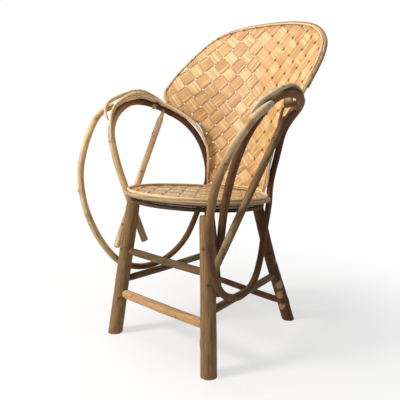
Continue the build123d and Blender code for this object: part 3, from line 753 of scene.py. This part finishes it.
stretcher("front_stretcher_upper_skin", "front_stretcher_upper", at_height(leg_axes["front", "right"], 256),
          at_height(leg_axes["front", "left"], 256), 20.5, 41.0, grey_bark, "weathered_pole",
          knots=((0.07, (0, -1, 1)), (0.55, (0, -1, 0.3))), seed=21.0)
stretcher("front_stretcher_lower_skin", "front_stretcher_lower", at_height(leg_axes["front", "right"], 125),
          at_height(leg_axes["front", "left"], 125), 26.0, 41.0, tan_bark, "tan_pole",
          knots=((0.16, (0, -1, 0.6)), (0.72, (0.3, -1, 0))), lumps=0.13, grain=0.001, seed=24.0,
          bare=((0.35, (0, -1, 0.8)), (0.62, (0, -1, 0.2))), bare_size=0.012)
stretcher("rear_stretcher_skin", "rear_stretcher", at_height(leg_axes["rear", "left"], 62),
          at_height(leg_axes["rear", "right"], 76), 20.0, 35.0, red_bark, "dark_pole", seed=27.0)
for side, (front_height, rear_height) in (("left", (157, 154)), ("right", (162, 181))):
    stretcher("side_stretcher_skin_" + side, "side_stretcher_" + side,
              at_height(leg_axes["front", side], front_height),
              at_height(leg_axes["rear", side], rear_height),
              20.5, 37.0, grey_bark, "weathered_pole", seed=31.0 + SIDES[side],
              knots=((0.42, (SIDES[side], 0, 0.5)),))

# --- arms ----------------------------------------------------------------------------
ARM_KNOTS = {"left": ((0.1, (1, -1, 0)), (0.31, (1, 0, 0)), (0.68, (0, -1, -0.6)), (0.9, (0.4, -1, 0))),
             "right": ((0.16, (0, -1, 0)), (0.37, (0, -1, 0)), (0.67, (0.3, -0.6, -1)), (0.84, (0, -1, 0)))}
INNER_STRIP_WIDTHS = {
    "left": ((0, 14.0), (0.25, 13.0), (0.45, 15.0), (0.6, 21.0), (0.78, 25.0), (0.92, 16.0), (1, 6.0)),
    "right": ((0, 12.0), (0.15, 17.0), (0.3, 19.0), (0.45, 20.0), (0.55, 24.0), (0.72, 28.0), (0.82, 20.0),
              (1, 12.0)),
}
# paths of thin near-black fillers in the gap under each inner strip: painted shadow
SHADOW_GAP_ROUTES = {"left": (
    (269, -98, 659), (270, -86, 668), (273, -72, 676), (275, -56, 687), (280, -39, 697),
    (285, -27, 705), (291, -11, 709), (296, 2, 708), (297, 20, 702), (293, 40, 691),
), "right": (
    (258, -117, 639), (262, -109, 651), (265, -98, 664), (266, -83, 676), (269, -61, 687), (273, -38, 694),
    (283, -5, 700), (281, 27, 697), (273, 52, 689), (256, 75, 677), (234, 92, 663), (209, 110, 645),
    (187, 124, 626), (168, 134, 603), (153, 142, 580), (142, 147, 557),
)}
strip_girths, strip_lines, loop_lines = {}, {}, {}
STRIP_FACES = {"left": (0.65, -0.6, 0.5), "right": (0.6, -0.7, 0.4)}
LOOP_BARK = {"left": loop_bark_left, "right": loop_bark_right}
SHOULDER_CUT = {"left": 0.004, "right": 0.008}
STRIP_DEPTH = 0.42  # the inner strip's thickness as a share of its width
STRUT_BARK = {"left": strut_bark, "right": straw_bark}
for side, sign in SIDES.items():
    route = ARM_ROUTE[:20] + ARM_TOPS[side] + ARM_ROUTE[24:]
    line = bent(route, sign, passes=30)
    loop_lines[side] = line
    girth = tapered(line, (0, 17.0), (0.02, 18.2), (0.12, 19.0), (0.3, 19.0), (0.42, 19.0), (0.5, 18.6),
                    (0.62, 19.0), (0.72, 20.4), (0.86, 20.8), (1, 20.6))
    pole("arm_loop_skin_" + side, ["arm_loop_" + side], line, girth, LOOP_BARK[side], "bent_pole", sides=26,
         knots=ARM_KNOTS[side], knot_size=0.008, lumps=0.11, seed=41.0 + 3 * sign,
         bare=((0.045, (0.5, -1, 0)), (0.2, (1, -1, 0))), bare_size=0.016)
    lower = bent(STRUT_ROUTE, sign)
    tongue = evenly(np.array([lower[-1], row_point(sign * STRUT_TONGUE_END[0], *STRUT_TONGUE_END[1:])]),
                    0.003)
    line = np.concatenate([lower, tongue[1:]])
    shoulder = len(lower) / len(line)
    girth = tapered(line, (0, 18.4), (0.2, 20.0), (0.6, 19.4), (shoulder - 0.012, 19.0),
                    (shoulder, 14.5), (shoulder + 0.02, 12.4), (1, 11.0))
    pole("arm_strut_skin_" + side, ["arm_strut_" + side], line, girth, STRUT_BARK[side], "grey_pole",
         knots=((0.14, (0.6, -1, 0)), (0.5, (-sign, -1, 0)), (0.78, (0, -1, 0.4))), knot_size=0.009,
         bare=((shoulder + 0.004, (0.3, -1, 0)),), bare_size=SHOULDER_CUT[side],
         lumps=0.12, seed=51.0 + sign)
    line = bent(INNER_STRIP_ROUTES[side], sign, passes=40)
    girth = tapered(line, *INNER_STRIP_WIDTHS[side])
    pole("arm_inner_strip_skin_" + side, ["arm_inner_strip_" + side], line, girth, INNER_WOOD[side],
         "peeled_strip",
         outward=np.tile(STRIP_FACES[side], (len(line), 1)), width=1.0, depth=STRIP_DEPTH, square=0.2,
         lumps=0.05, grain=0.0002, sides=24,
         knots=((0.42, (0, -0.5, 1)), (0.7, (0, -0.5, 1))), knot_size=0.004,
         bare=((0.2, (0, -1, 1)), (0.6, (0.4, 0, 1))), bare_size=0.006, seed=61.0 + sign)
    # a thin near-black filler between the inner strip and the rod: painted shadow in the gap
    shadow_gap = bent(SHADOW_GAP_ROUTES[side], sign, passes=20)
    pole("arm_seam_skin_" + side, ["arm_inner_strip_" + side], shadow_gap,
         tapered(shadow_gap, (0, 2.0), (0.12, 6.4), (0.88, 6.4), (1, 2.0)), dark_bark, "peeled_strip",
         sides=14, lumps=0.05, seed=75.0 + sign, blunt=0.0005)
    strip_girths[side], strip_lines[side] = girth, line
    line = bent(OUTER_STRIP_ROUTES[side], sign, passes=24)
    girth = tapered(line, (0, 4.0), (0.12, 10.0), (0.4, 11.0), (0.8, 12.0), (0.95, 9.0), (1, 5.0))
    pole("arm_outer_strip_skin_" + side, ["arm_outer_strip_" + side], line, girth, STRIP_WOOD[side],
         "peeled_strip",
         outward=np.tile((0.6, -0.5, 0.6), (len(line), 1)), width=1.1, depth=0.8, square=0.12, lumps=0.05,
         grain=0.0002, sides=22, knots=((0.35, (0.6, -0.3, 1)),), knot_size=0.004,
         bare=((0.55, (0.6, 0, 1)),), bare_size=0.006, seed=66.0 + sign)
    line = evenly(np.array([row_point(sign * x, y, z) for x, y, z in CLEAT_ROUTE]), 0.002)
    pole("arm_cleat_skin_" + side, ["arm_cleat_" + side], line, 0.0076, hoop_bark, "peeled_strip",
         lumps=0.12, grain=0.0005, sides=20, seed=71.0 + sign, blunt=0.001)

# --- seat hoops ----------------------------------------------------------------------
# depths under the rim's top, in mm
RIM_DEPTH, LIP_DEPTH, INNER_RING_DEPTH, LOWER_RING_DEPTH = 10.0, 1.6, 15.0, 28.0
RAIL_SPREAD, RAIL_DEPTH, RAIL_CLEARANCE = 75.0, 14.5, 2.0

pole("seat_rim_skin", ["seat_rim"], seat_circle(WEAVE_RADIUS + 5.0, RIM_DEPTH), 0.005, rim_wood,
     "peeled_strip", outward=SEAT_UP, width=0.98, depth=1.96, square=0.16, sides=40, lumps=0.14,
     grain=0.0004, knot_size=0.0045, seed=81.0, closed=True,
     knots=((0.62, (-0.6, -1, 0)), (0.78, (0, -1, 0)), (0.93, (1, -1, 0)), (0.1, (1, 0.6, 0)),
            (0.3, (0, 1, 0))))
pole("seat_rim_lip_skin", ["seat_rim"], seat_circle(WEAVE_RADIUS + 5.2, LIP_DEPTH), 0.0031, border_wood,
     "peeled_strip", outward=SEAT_UP, width=1.3, depth=0.7, sides=16, lumps=0.12, grain=0.0002,
     seed=82.0, closed=True)
pole("seat_ring_skin", ["seat_ring"], seat_circle(RING_RADIUS, INNER_RING_DEPTH), 0.0068, ring_bark,
     "hoop_pole", sides=20, lumps=0.1, seed=84.0, closed=True)
pole("seat_lower_ring_skin", ["seat_lower_ring"], seat_circle(RING_RADIUS, LOWER_RING_DEPTH), 0.0058,
     ring_bark, "hoop_pole", sides=20, lumps=0.1, seed=87.0, closed=True)
for name, y, seed in (("front", -RAIL_SPREAD, 91.0), ("rear", RAIL_SPREAD, 94.0)):
    half = sqrt(RING_RADIUS**2 - RAIL_SPREAD**2) - RAIL_CLEARANCE
    line = evenly(np.array([seat_point(-half, y, RAIL_DEPTH), seat_point(half, y, RAIL_DEPTH)]), 0.004)
    pole("seat_rail_skin_" + name, ["seat_rail_" + name], line, 0.0057, grey_bark, "hoop_pole",
         sides=18, lumps=0.1, seed=seed)

# --- woven splints -------------------------------------------------------------------
LEFT_WIDENING = 0.17  # on a panel's left the splints are wider, so no light shows between them
SPLINT_SHARE = 0.885  # a splint's width as a share of its lane
STEPS_PER_LANE = 8


def woven_tree(name, family, lay, surface, amplitude, thickness):
    """Splints of one direction: strips in weave space, cut at an outline and laid on a surface."""
    tree, net, given = geometry_net(name, [
        ("First Lane", "Float"), ("Lanes", "Int"), ("Start", "Float"), ("Length", "Float"),
        ("Steps", "Int"), ("Width", "Float"), ("Pitch", "Float"), ("Finish", "Material"),
    ])
    outline = given["Geometry"]
    strip = net.add("GeometryNodeMeshGrid", {}, {
        "Size X": given["Length"], "Size Y": given["Width"], "Vertices X": given["Steps"],
        "Vertices Y": 6})[0]
    lanes = net.add("GeometryNodeMeshLine", {"mode": "OFFSET"}, {
        "Count": given["Lanes"], "Offset": (0.0, 1.0, 0.0)})[0]
    lanes = keep(net, lanes, "lane", net.add("GeometryNodeInputIndex", {}, {})[0] + given["First Lane"])
    mesh = net.add("GeometryNodeInstanceOnPoints", {}, {"Points": lanes, "Instance": strip})[0]
    mesh = net.add("GeometryNodeRealizeInstances", {}, {"Geometry": mesh})[0]
    x, y, _ = net.add("GeometryNodeInputPosition", {}, {})[0].parts()
    lane = named(net, "lane")
    mesh = keep(net, mesh, "run", x + given["Start"] + 0.5 * given["Length"])
    mesh = keep(net, mesh, "side", (y + given["First Lane"] - lane) / given["Width"])
    run, side = named(net, "run"), named(net, "side")
    # splints differ a little in width and wander a little from their lane
    sway = net.noise(net.join(run * 0.35, lane * 5.3, family * 9.0), 1.0, 1.0) - 0.5
    i, j = (run, lane + 0.5) if family == 0 else (lane + 0.5, run)
    snug = given["Width"] * (1.0 + LEFT_WIDENING * lay(i, j)[0].ramp(0.0, 0.04))
    mesh = keep(net, mesh, "across", lane + 0.5 + side * snug * (1.0 + 0.05 * sway) + 0.10 * sway)
    across = named(net, "across")
    sign = 1.0 - 2.0 * abs(lane.parity())
    wave = (run * pi).sine() * sign * (1.0 if family == 0 else -1.0)
    wave = (wave * 1.7).least(1.0).most(-1.0)
    mesh = keep(net, mesh, "lift", wave)
    mesh = keep(net, mesh, "edge", abs(side) * 2.0)
    lane_seed = lane * 0.37 + 3.1 * family
    mesh = keep(net, mesh, "straight", net.join(run * given["Pitch"],
                                                side * given["Width"] * given["Pitch"] + lane_seed,
                                                lane * 1.7), "FLOAT_VECTOR")
    i, j = (run, across) if family == 0 else (across, run)
    flat_x, flat_y = lay(i, j)
    mesh = net.add("GeometryNodeSetPosition", {},
                   {"Geometry": mesh, "Position": net.join(flat_x, flat_y, 0.0)})[0]
    # cut at the outline: what lies outside goes, and what straddles it is drawn back to it
    place = net.add("GeometryNodeInputPosition", {}, {})[0]
    hit = net.add("GeometryNodeRaycast", {}, {
        "Target Geometry": outline, "Source Position": place.vector("ADD", (0.0, 0.0, 1.0)),
        "Ray Direction": (0.0, 0.0, -1.0), "Ray Length": 2.0})["Is Hit"]
    mesh = keep(net, mesh, "inside", hit)
    mesh = net.add("GeometryNodeDeleteGeometry", {"domain": "FACE"}, {
        "Geometry": mesh, "Selection": named(net, "inside") < 0.01})[0]
    border = net.add("GeometryNodeProximity", {"target_element": "EDGES"}, {0: outline})["Position"]
    mesh = net.add("GeometryNodeSetPosition", {}, {
        "Geometry": mesh, "Selection": named(net, "inside") < 0.5, "Position": border})[0]
    flat_x, flat_y, _ = net.add("GeometryNodeInputPosition", {}, {})[0].parts()
    crown = (1.0 - named(net, "edge") * named(net, "edge")) * 0.0002
    height = named(net, "lift") * amplitude + crown - 0.5 * thickness
    mesh = net.add("GeometryNodeSetPosition", {}, {
        "Geometry": mesh, "Position": surface(net, flat_x, flat_y, height)})[0]
    mesh = net.add("GeometryNodeFlipFaces", {}, {"Mesh": mesh})[0] if family == 1 else mesh
    mesh = keep(net, mesh, "front", 0.0)
    below = net.add("GeometryNodeFlipFaces", {}, {"Mesh": mesh})[0]
    walls = net.add("GeometryNodeExtrudeMesh", {"mode": "FACES"}, {
        "Mesh": below, "Offset Scale": thickness, "Individual": False})["Mesh"]
    walls = keep(net, walls, "front", 1.0)
    both = net.add("GeometryNodeJoinGeometry", {}, {})
    for part in (mesh, walls):
        net.tree.links.new(part.socket, both.node.inputs[0])
    whole = net.add("GeometryNodeMergeByDistance", {}, {"Geometry": both[0], "Distance": 0.00002})[0]
    whole = net.add("GeometryNodeSetShadeSmooth", {}, {"Geometry": whole, "Shade Smooth": False})[0]
    closing(net, whole, given["Finish"])
    return tree


def cubic(terms):
    """A function of weave coordinates with the ten terms of a cubic, from mm to metres."""

    def value(i, j):
        powers = (1.0, i, j, i * i, i * j, j * j, i * i * i, i * i * j, i * j * j, j * j * j)
        total = 0.0
        for term, power in zip(terms, powers):
            total = power * (term * MM) + total
        return total

    return value


# where the back's weave lies, in its own outline plane
BACK_X = cubic((-44.911, 26.848, 29.881, 0.436, -0.183, -1.047, -0.038, -0.176, -0.008, 0.117))
BACK_Z = cubic((799.526, 27.44, -26.283, 0.283, 1.156, 0.637, -0.008, 0.013, -0.06, -0.037))
BACK_BOTTOM, BACK_SPINE_Y, BACK_LEAN, BACK_DISH, BACK_DISH_FADE = 420.0, 172.0, 0.22, 0.0024, (630.0, 950.0)
BACK_OUTLINE = (
    (113, 413), (121, 467), (128, 520), (151, 598), (201, 648), (248, 682), (266, 714),
    (267, 750), (261, 797), (238, 853), (188, 898), (110, 918), (0, 924),
)
SEAT_WEAVE_DEPTH = 6.0  # in mm; the lengths below are in metres
SEAT_PITCH, SEAT_TURN = 0.042, radians(38.5)
SEAT_WEAVE_EDGE = 0.1918
BACK_PITCH = 0.038
BACK_WAVE, BACK_THICKNESS = 0.00085, 0.0009
SEAT_WAVE, SEAT_THICKNESS = 0.0014, 0.0012


def back_surface(net, x, z, height):
    """On the dished back, at a height off it towards the sitter."""
    dish = BACK_DISH / MM * (1.0 - z.ramp(BACK_DISH_FADE[0] * MM, BACK_DISH_FADE[1] * MM))
    y = (BACK_SPINE_Y + ROW_SHIFT[1]) * MM + BACK_LEAN * (z - BACK_BOTTOM * MM) - dish * x * x
    return net.join(x, y - height, z)


def seat_surface(net, x, y, height):
    """On the tilted seat, at a height above the middle of its weave."""
    middle = seat_point(0.0, 0.0, SEAT_WEAVE_DEPTH)
    return net.join(x, middle[1] + y * cos(SEAT_TILT) + height * sin(SEAT_TILT),
                    middle[2] - y * sin(SEAT_TILT) + height * cos(SEAT_TILT))


def seat_lay(i, j):
    a, b = i * SEAT_PITCH, j * SEAT_PITCH
    return a * cos(SEAT_TURN) + b * sin(SEAT_TURN), a * sin(SEAT_TURN) - b * cos(SEAT_TURN)


def smooth_outline(points, step=4.0):
    """A closed, even outline through the points of its left half."""
    half = np.array(points, float)
    whole = np.concatenate([half, half[-2::-1] * (-1, 1)])
    line = np.column_stack([whole, np.zeros(len(whole))])
    return evenly(rounded(line, 24), step)[:, :2]


def rounded(line, count):
    """A smooth curve through the points, with that many new points for each."""
    padded = np.concatenate([2 * line[:1] - line[1:2], line, 2 * line[-1:] - line[-2:-1]])
    t = np.linspace(0, 1, count, endpoint=False)[:, None]
    runs = []
    for a, b, c, d in zip(padded, padded[1:], padded[2:], padded[3:]):
        runs.append(0.5 * (2 * b + (c - a) * t + (2 * a - 5 * b + 4 * c - d) * t**2
                           + (3 * b - a - 3 * c + d) * t**3))
    return np.concatenate([*runs, line[-1:]])


def flat_face(name, points):
    """A flat face with a given border, for a tree to cut at."""
    mesh = bpy.data.meshes.new(name)
    mesh.from_pydata([(x, y, 0.0) for x, y in points], [], [tuple(range(len(points)))])
    return placed(name, mesh)


def woven(name, node, border, lay, surface, finish, amplitude, thickness, spans):
    """A woven panel: one piece for the splints of each direction."""
    for family, (first_lane, lanes, start, length, pitch) in enumerate(spans):
        tree = woven_tree(name, family, lay, surface, amplitude, thickness)
        layer = grown(name + "_" + "ab"[family], flat_face("border", border), tree, {
            "First Lane": first_lane, "Lanes": lanes, "Start": start, "Length": length,
            "Steps": int(length * STEPS_PER_LANE) + 1, "Width": SPLINT_SHARE, "Pitch": pitch,
            "Finish": finish[family]})
        settle(layer, [node])


def back_y(x, z):
    """The middle of the woven back in mm from the makers' origin."""
    t = np.clip((z - BACK_DISH_FADE[0]) / (BACK_DISH_FADE[1] - BACK_DISH_FADE[0]), 0, 1)
    return BACK_SPINE_Y + BACK_LEAN * (z - BACK_BOTTOM) - BACK_DISH * (1 - t * t * (3 - 2 * t)) * x * x


def edge_line(inset, forward, lowest=0.0):
    """A line along the back's curved edge, that far inside it and in front of its middle."""
    outline = smooth_outline(BACK_OUTLINE, POINT_STEP)
    along = unit(np.gradient(outline, axis=0))
    flat = outline + inset * np.column_stack([-along[:, 1], along[:, 0]])
    flat = flat[flat[:, 1] > lowest]
    return np.array([row_point(x, back_y(x, z) - forward, z) for x, z in flat])


def facing(line):
    """The direction in which the dished surface faces the sitter, along a line on it."""
    x, z = line[:, 0] / MM, line[:, 2] / MM
    slope_x = (back_y(x + 1, z) - back_y(x - 1, z)) / 2
    slope_z = (back_y(x, z + 1) - back_y(x, z - 1)) / 2
    return unit(np.column_stack([slope_x, -np.ones(len(x)), slope_z]))


# spans of each direction: first lane, lanes, start, length, pitch
woven("back_splints", "back_weave", smooth_outline(BACK_OUTLINE) * MM,
      lambda i, j: (BACK_X(i, j), BACK_Z(i, j)), back_surface,
      (back_splint_warm, back_splint), BACK_WAVE, BACK_THICKNESS,
      ((-6.0, 17, -15.0, 24.0, BACK_PITCH), (-15.0, 24, -6.0, 17.0, BACK_PITCH)))
turns = np.linspace(0, 2 * pi, 160, endpoint=False)
woven("seat_splints", "seat_weave", [(SEAT_WEAVE_EDGE * cos(t), SEAT_WEAVE_EDGE * sin(t)) for t in turns],
      seat_lay, seat_surface, (seat_splint_warm, seat_splint), SEAT_WAVE, SEAT_THICKNESS,
      ((-5.0, 10, -5.0, 10.0, SEAT_PITCH), (-5.0, 10, -5.0, 10.0, SEAT_PITCH)))

# --- border of the back --------------------------------------------------------------
# where its strips and its rim lie, in mm
STRIP_INSET, STRIP_AHEAD = 5.2, 3.4
REAR_RIM_INSET, REAR_RIM_BEHIND, REAR_RIM_FROM = 0.9, 6.0, 713.0
BOTTOM_STRIP_HEIGHT, BOTTOM_STRIP_HALF = 422.0, 107.0
BACK_FOOT, FOOT_SHADOW_GAP_AHEAD = 413.0, 2.5

line = edge_line(STRIP_INSET, STRIP_AHEAD)
share = np.linspace(0, 1, len(line))
width = np.interp(share, (0, 0.3, 0.42, 0.5, 0.62, 0.7, 1), (5.4, 5.8, 5.6, 3.4, 2.2, 2.0, 2.8)) * MM
pole("back_front_strip_skin", ["back_front_strip"], line, width, border_wood, "peeled_strip",
     outward=facing(line), width=1.0, depth=0.34, square=0.3, sides=16, lumps=0.12, grain=0.0003,
     seed=101.0, blunt=0.0005)
line = edge_line(REAR_RIM_INSET, -REAR_RIM_BEHIND, REAR_RIM_FROM)
girth = tapered(line, (0, 7.0), (0.06, 8.4), (0.5, 8.8), (0.94, 8.4), (1, 7.0))
pole("back_rear_rim_skin", ["back_rear_rim"], line, girth, rim_bark, "rim_pole", outward=facing(line),
     width=1.05, depth=1.0, sides=18, lumps=0.12, grain=0.0006, seed=104.0, blunt=0.001)
ends = np.linspace(-BOTTOM_STRIP_HALF, BOTTOM_STRIP_HALF, 60)
line = np.array([row_point(x, back_y(x, BOTTOM_STRIP_HEIGHT) - STRIP_AHEAD, BOTTOM_STRIP_HEIGHT)
                 for x in ends])
pole("back_bottom_strip_skin", ["back_bottom_strip"], line, 0.0062, border_wood, "peeled_strip",
     outward=facing(line), width=1.0, depth=0.3, square=0.3, sides=16, lumps=0.12, grain=0.0003,
     seed=107.0, blunt=0.0005)
# a thin near-black filler below the bottom strip: painted shadow in the gap under it
line = np.array([row_point(x, back_y(x, BACK_FOOT) - FOOT_SHADOW_GAP_AHEAD, BACK_FOOT + 0.5) for x in ends])
pole("back_foot_seam_skin", ["back_bottom_strip"], line, 0.0026, dark_bark, "peeled_strip", sides=12,
     seed=109.0, blunt=0.0005)

# --- nails ---------------------------------------------------------------------------
HEAD_PROFILE = ((1.0, -0.8), (1.0, 0.1), (0.8, 0.4), (0.4, 0.6))
HEAD_SIDES, HEAD_RADIUS = 12, 0.0023  # metres
SCARF_NAIL = (0.0086, 0.012, (0.6, -0.7, 0.1))  # rod's radius in metres, share of its length, facing


def heads(name, node, places):
    """Domed nail heads at places on a skin, each with the direction it faces."""
    points, faces = [], []
    for centre, outward in places:
        across = unit(np.cross(outward, (0.3, 0.2, 1.0)))
        upward = np.cross(outward, across)
        first = len(points)
        for wide, tall in HEAD_PROFILE:
            for turn in np.linspace(0, 2 * pi, HEAD_SIDES, endpoint=False):
                points.append(centre + HEAD_RADIUS * (
                    wide * (cos(turn) * across + sin(turn) * upward) + tall * outward))
        for ring in range(len(HEAD_PROFILE) - 1):
            for k in range(HEAD_SIDES):
                a, b = first + ring * HEAD_SIDES + k, first + ring * HEAD_SIDES + (k + 1) % HEAD_SIDES
                faces.append((a, b, b + HEAD_SIDES, a + HEAD_SIDES))
        faces.append(tuple(range(len(points) - HEAD_SIDES, len(points))))
        faces.append(tuple(range(first + HEAD_SIDES - 1, first - 1, -1)))
    mesh = bpy.data.meshes.new(name)
    mesh.from_pydata([tuple(p) for p in points], [], faces)
    mesh.materials.append(iron)
    settle(placed(name, mesh), [node])


def nail_place(line, girth, share, towards):
    """A place and a facing for a nail head on a skin."""
    along = tangents(line)[int(round(share * (len(line) - 1)))]
    return on_skin(line, girth, share, towards), square_to(along, np.array(towards, float))


STRIP_NAILS = {"left": (0.1, 0.34, 0.66, 0.86, 0.95), "right": (0.05, 0.10, 0.15, 0.92, 0.965, 0.985)}
for side in SIDES:
    line, girth = strip_lines[side], strip_girths[side]
    places = [nail_place(line, STRIP_DEPTH * girth, share,
                         STRIP_FACES[side]) for share in STRIP_NAILS[side]]
    places.append(nail_place(loop_lines[side], *SCARF_NAIL))
    heads("arm_nail_heads_" + side, "arm_nails_" + side, places)
for name in ("seat_rim_nails", "leg_pins", "back_nails"):
    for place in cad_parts[name].material_slots:
        place.material = iron

# --- camera, light and floor ---------------------------------------------------------
CAMERA_PLACE, CAMERA_HEADING, CAMERA_PITCH = (0.9278, -1.0534, 0.6523), 42.2961, 10.2285
CAMERA_LENS, CAMERA_WIDTH = 43.68, 36.0
DAYLIGHT = 0.17  # strength of the light from all round
NEAR_GLOW = 0.64  # share of the floor that glows white under the chair; the rest takes its shadow

camera = placed("camera", bpy.data.cameras.new("camera"))
bpy.context.scene.camera = camera
heading, pitch = radians(CAMERA_HEADING), radians(CAMERA_PITCH)
camera.location = CAMERA_PLACE
ahead = Vector((-sin(heading) * cos(pitch), cos(heading) * cos(pitch), -sin(pitch)))
camera.rotation_mode = "QUATERNION"
camera.rotation_quaternion = ahead.to_track_quat("-Z", "Y")
camera.data.lens, camera.data.sensor_width = CAMERA_LENS, CAMERA_WIDTH
camera.data.clip_start, camera.data.clip_end = 0.01, 50.0


def lamp(name, place, target, size, power, colour=(1.0, 1.0, 1.0)):
    data = bpy.data.lights.new(name, "AREA")
    data.shape, data.size, data.energy, data.color = "DISK", size, power, colour
    made = placed(name, data)
    made.location = place
    made.rotation_mode = "QUATERNION"
    made.rotation_quaternion = (Vector(target) - Vector(place)).to_track_quat("-Z", "Y")


lamp("key", (-1.3, -2.4, 2.2), (0.0, 0.0, 0.5), 0.8, 104.0, (1.0, 0.965, 0.92))
lamp("top", (-0.2, -0.2, 3.0), (0.0, 0.0, 0.4), 1.4, 34.0)
lamp("fill", (2.4, -1.6, 1.0), (0.0, 0.0, 0.4), 1.6, 3.0)

world = bpy.data.worlds.new("studio")
bpy.context.scene.world = world
world.use_nodes = True
net = Net(world.node_tree)
backdrop = world.node_tree.nodes["Background"]
backdrop.inputs["Color"].default_value = (1.0, 1.0, 1.0, 1.0)
strength = DAYLIGHT + (1.0 - DAYLIGHT) * net.seen()
world.node_tree.links.new(strength.socket, backdrop.inputs["Strength"])

floor_mesh = bpy.data.meshes.new("floor")
floor_mesh.from_pydata([(-9, -9, 0), (9, -9, 0), (9, 9, 0), (-9, 9, 0)], [], [(0, 1, 2, 3)])
floor = placed("floor", floor_mesh)
floor.location = (0, 0, -0.0002)
floor_coat = bpy.data.materials.new("floor_coat")
floor_coat.use_nodes = True
net = Net(floor_coat.node_tree)
coat = floor_coat.node_tree.nodes["Principled BSDF"]
coat.inputs["Base Color"].default_value = (0.86, 0.86, 0.86, 1.0)
coat.inputs["Roughness"].default_value = 0.9
away = net.add("ShaderNodeTexCoord", {}, {})["Object"].vector("LENGTH", (0.0, 0.0, 0.0))
glow = net.add("ShaderNodeEmission", {}, {"Color": (1.0, 1.0, 1.0, 1.0), "Strength": 1.0})[0]
share = net.seen() * (NEAR_GLOW + (1.0 - NEAR_GLOW) * away.ramp(0.35, 1.1))
blend = net.add("ShaderNodeMixShader", {}, {0: share, 1: Flow(net, coat.outputs[0]), 2: glow})[0]
output = floor_coat.node_tree.nodes["Material Output"]
floor_coat.node_tree.links.new(blend.socket, output.inputs["Surface"])
floor_mesh.materials.append(floor_coat)

bpy.context.scene.view_settings.view_transform = "Standard"
bpy.context.view_layer.update()
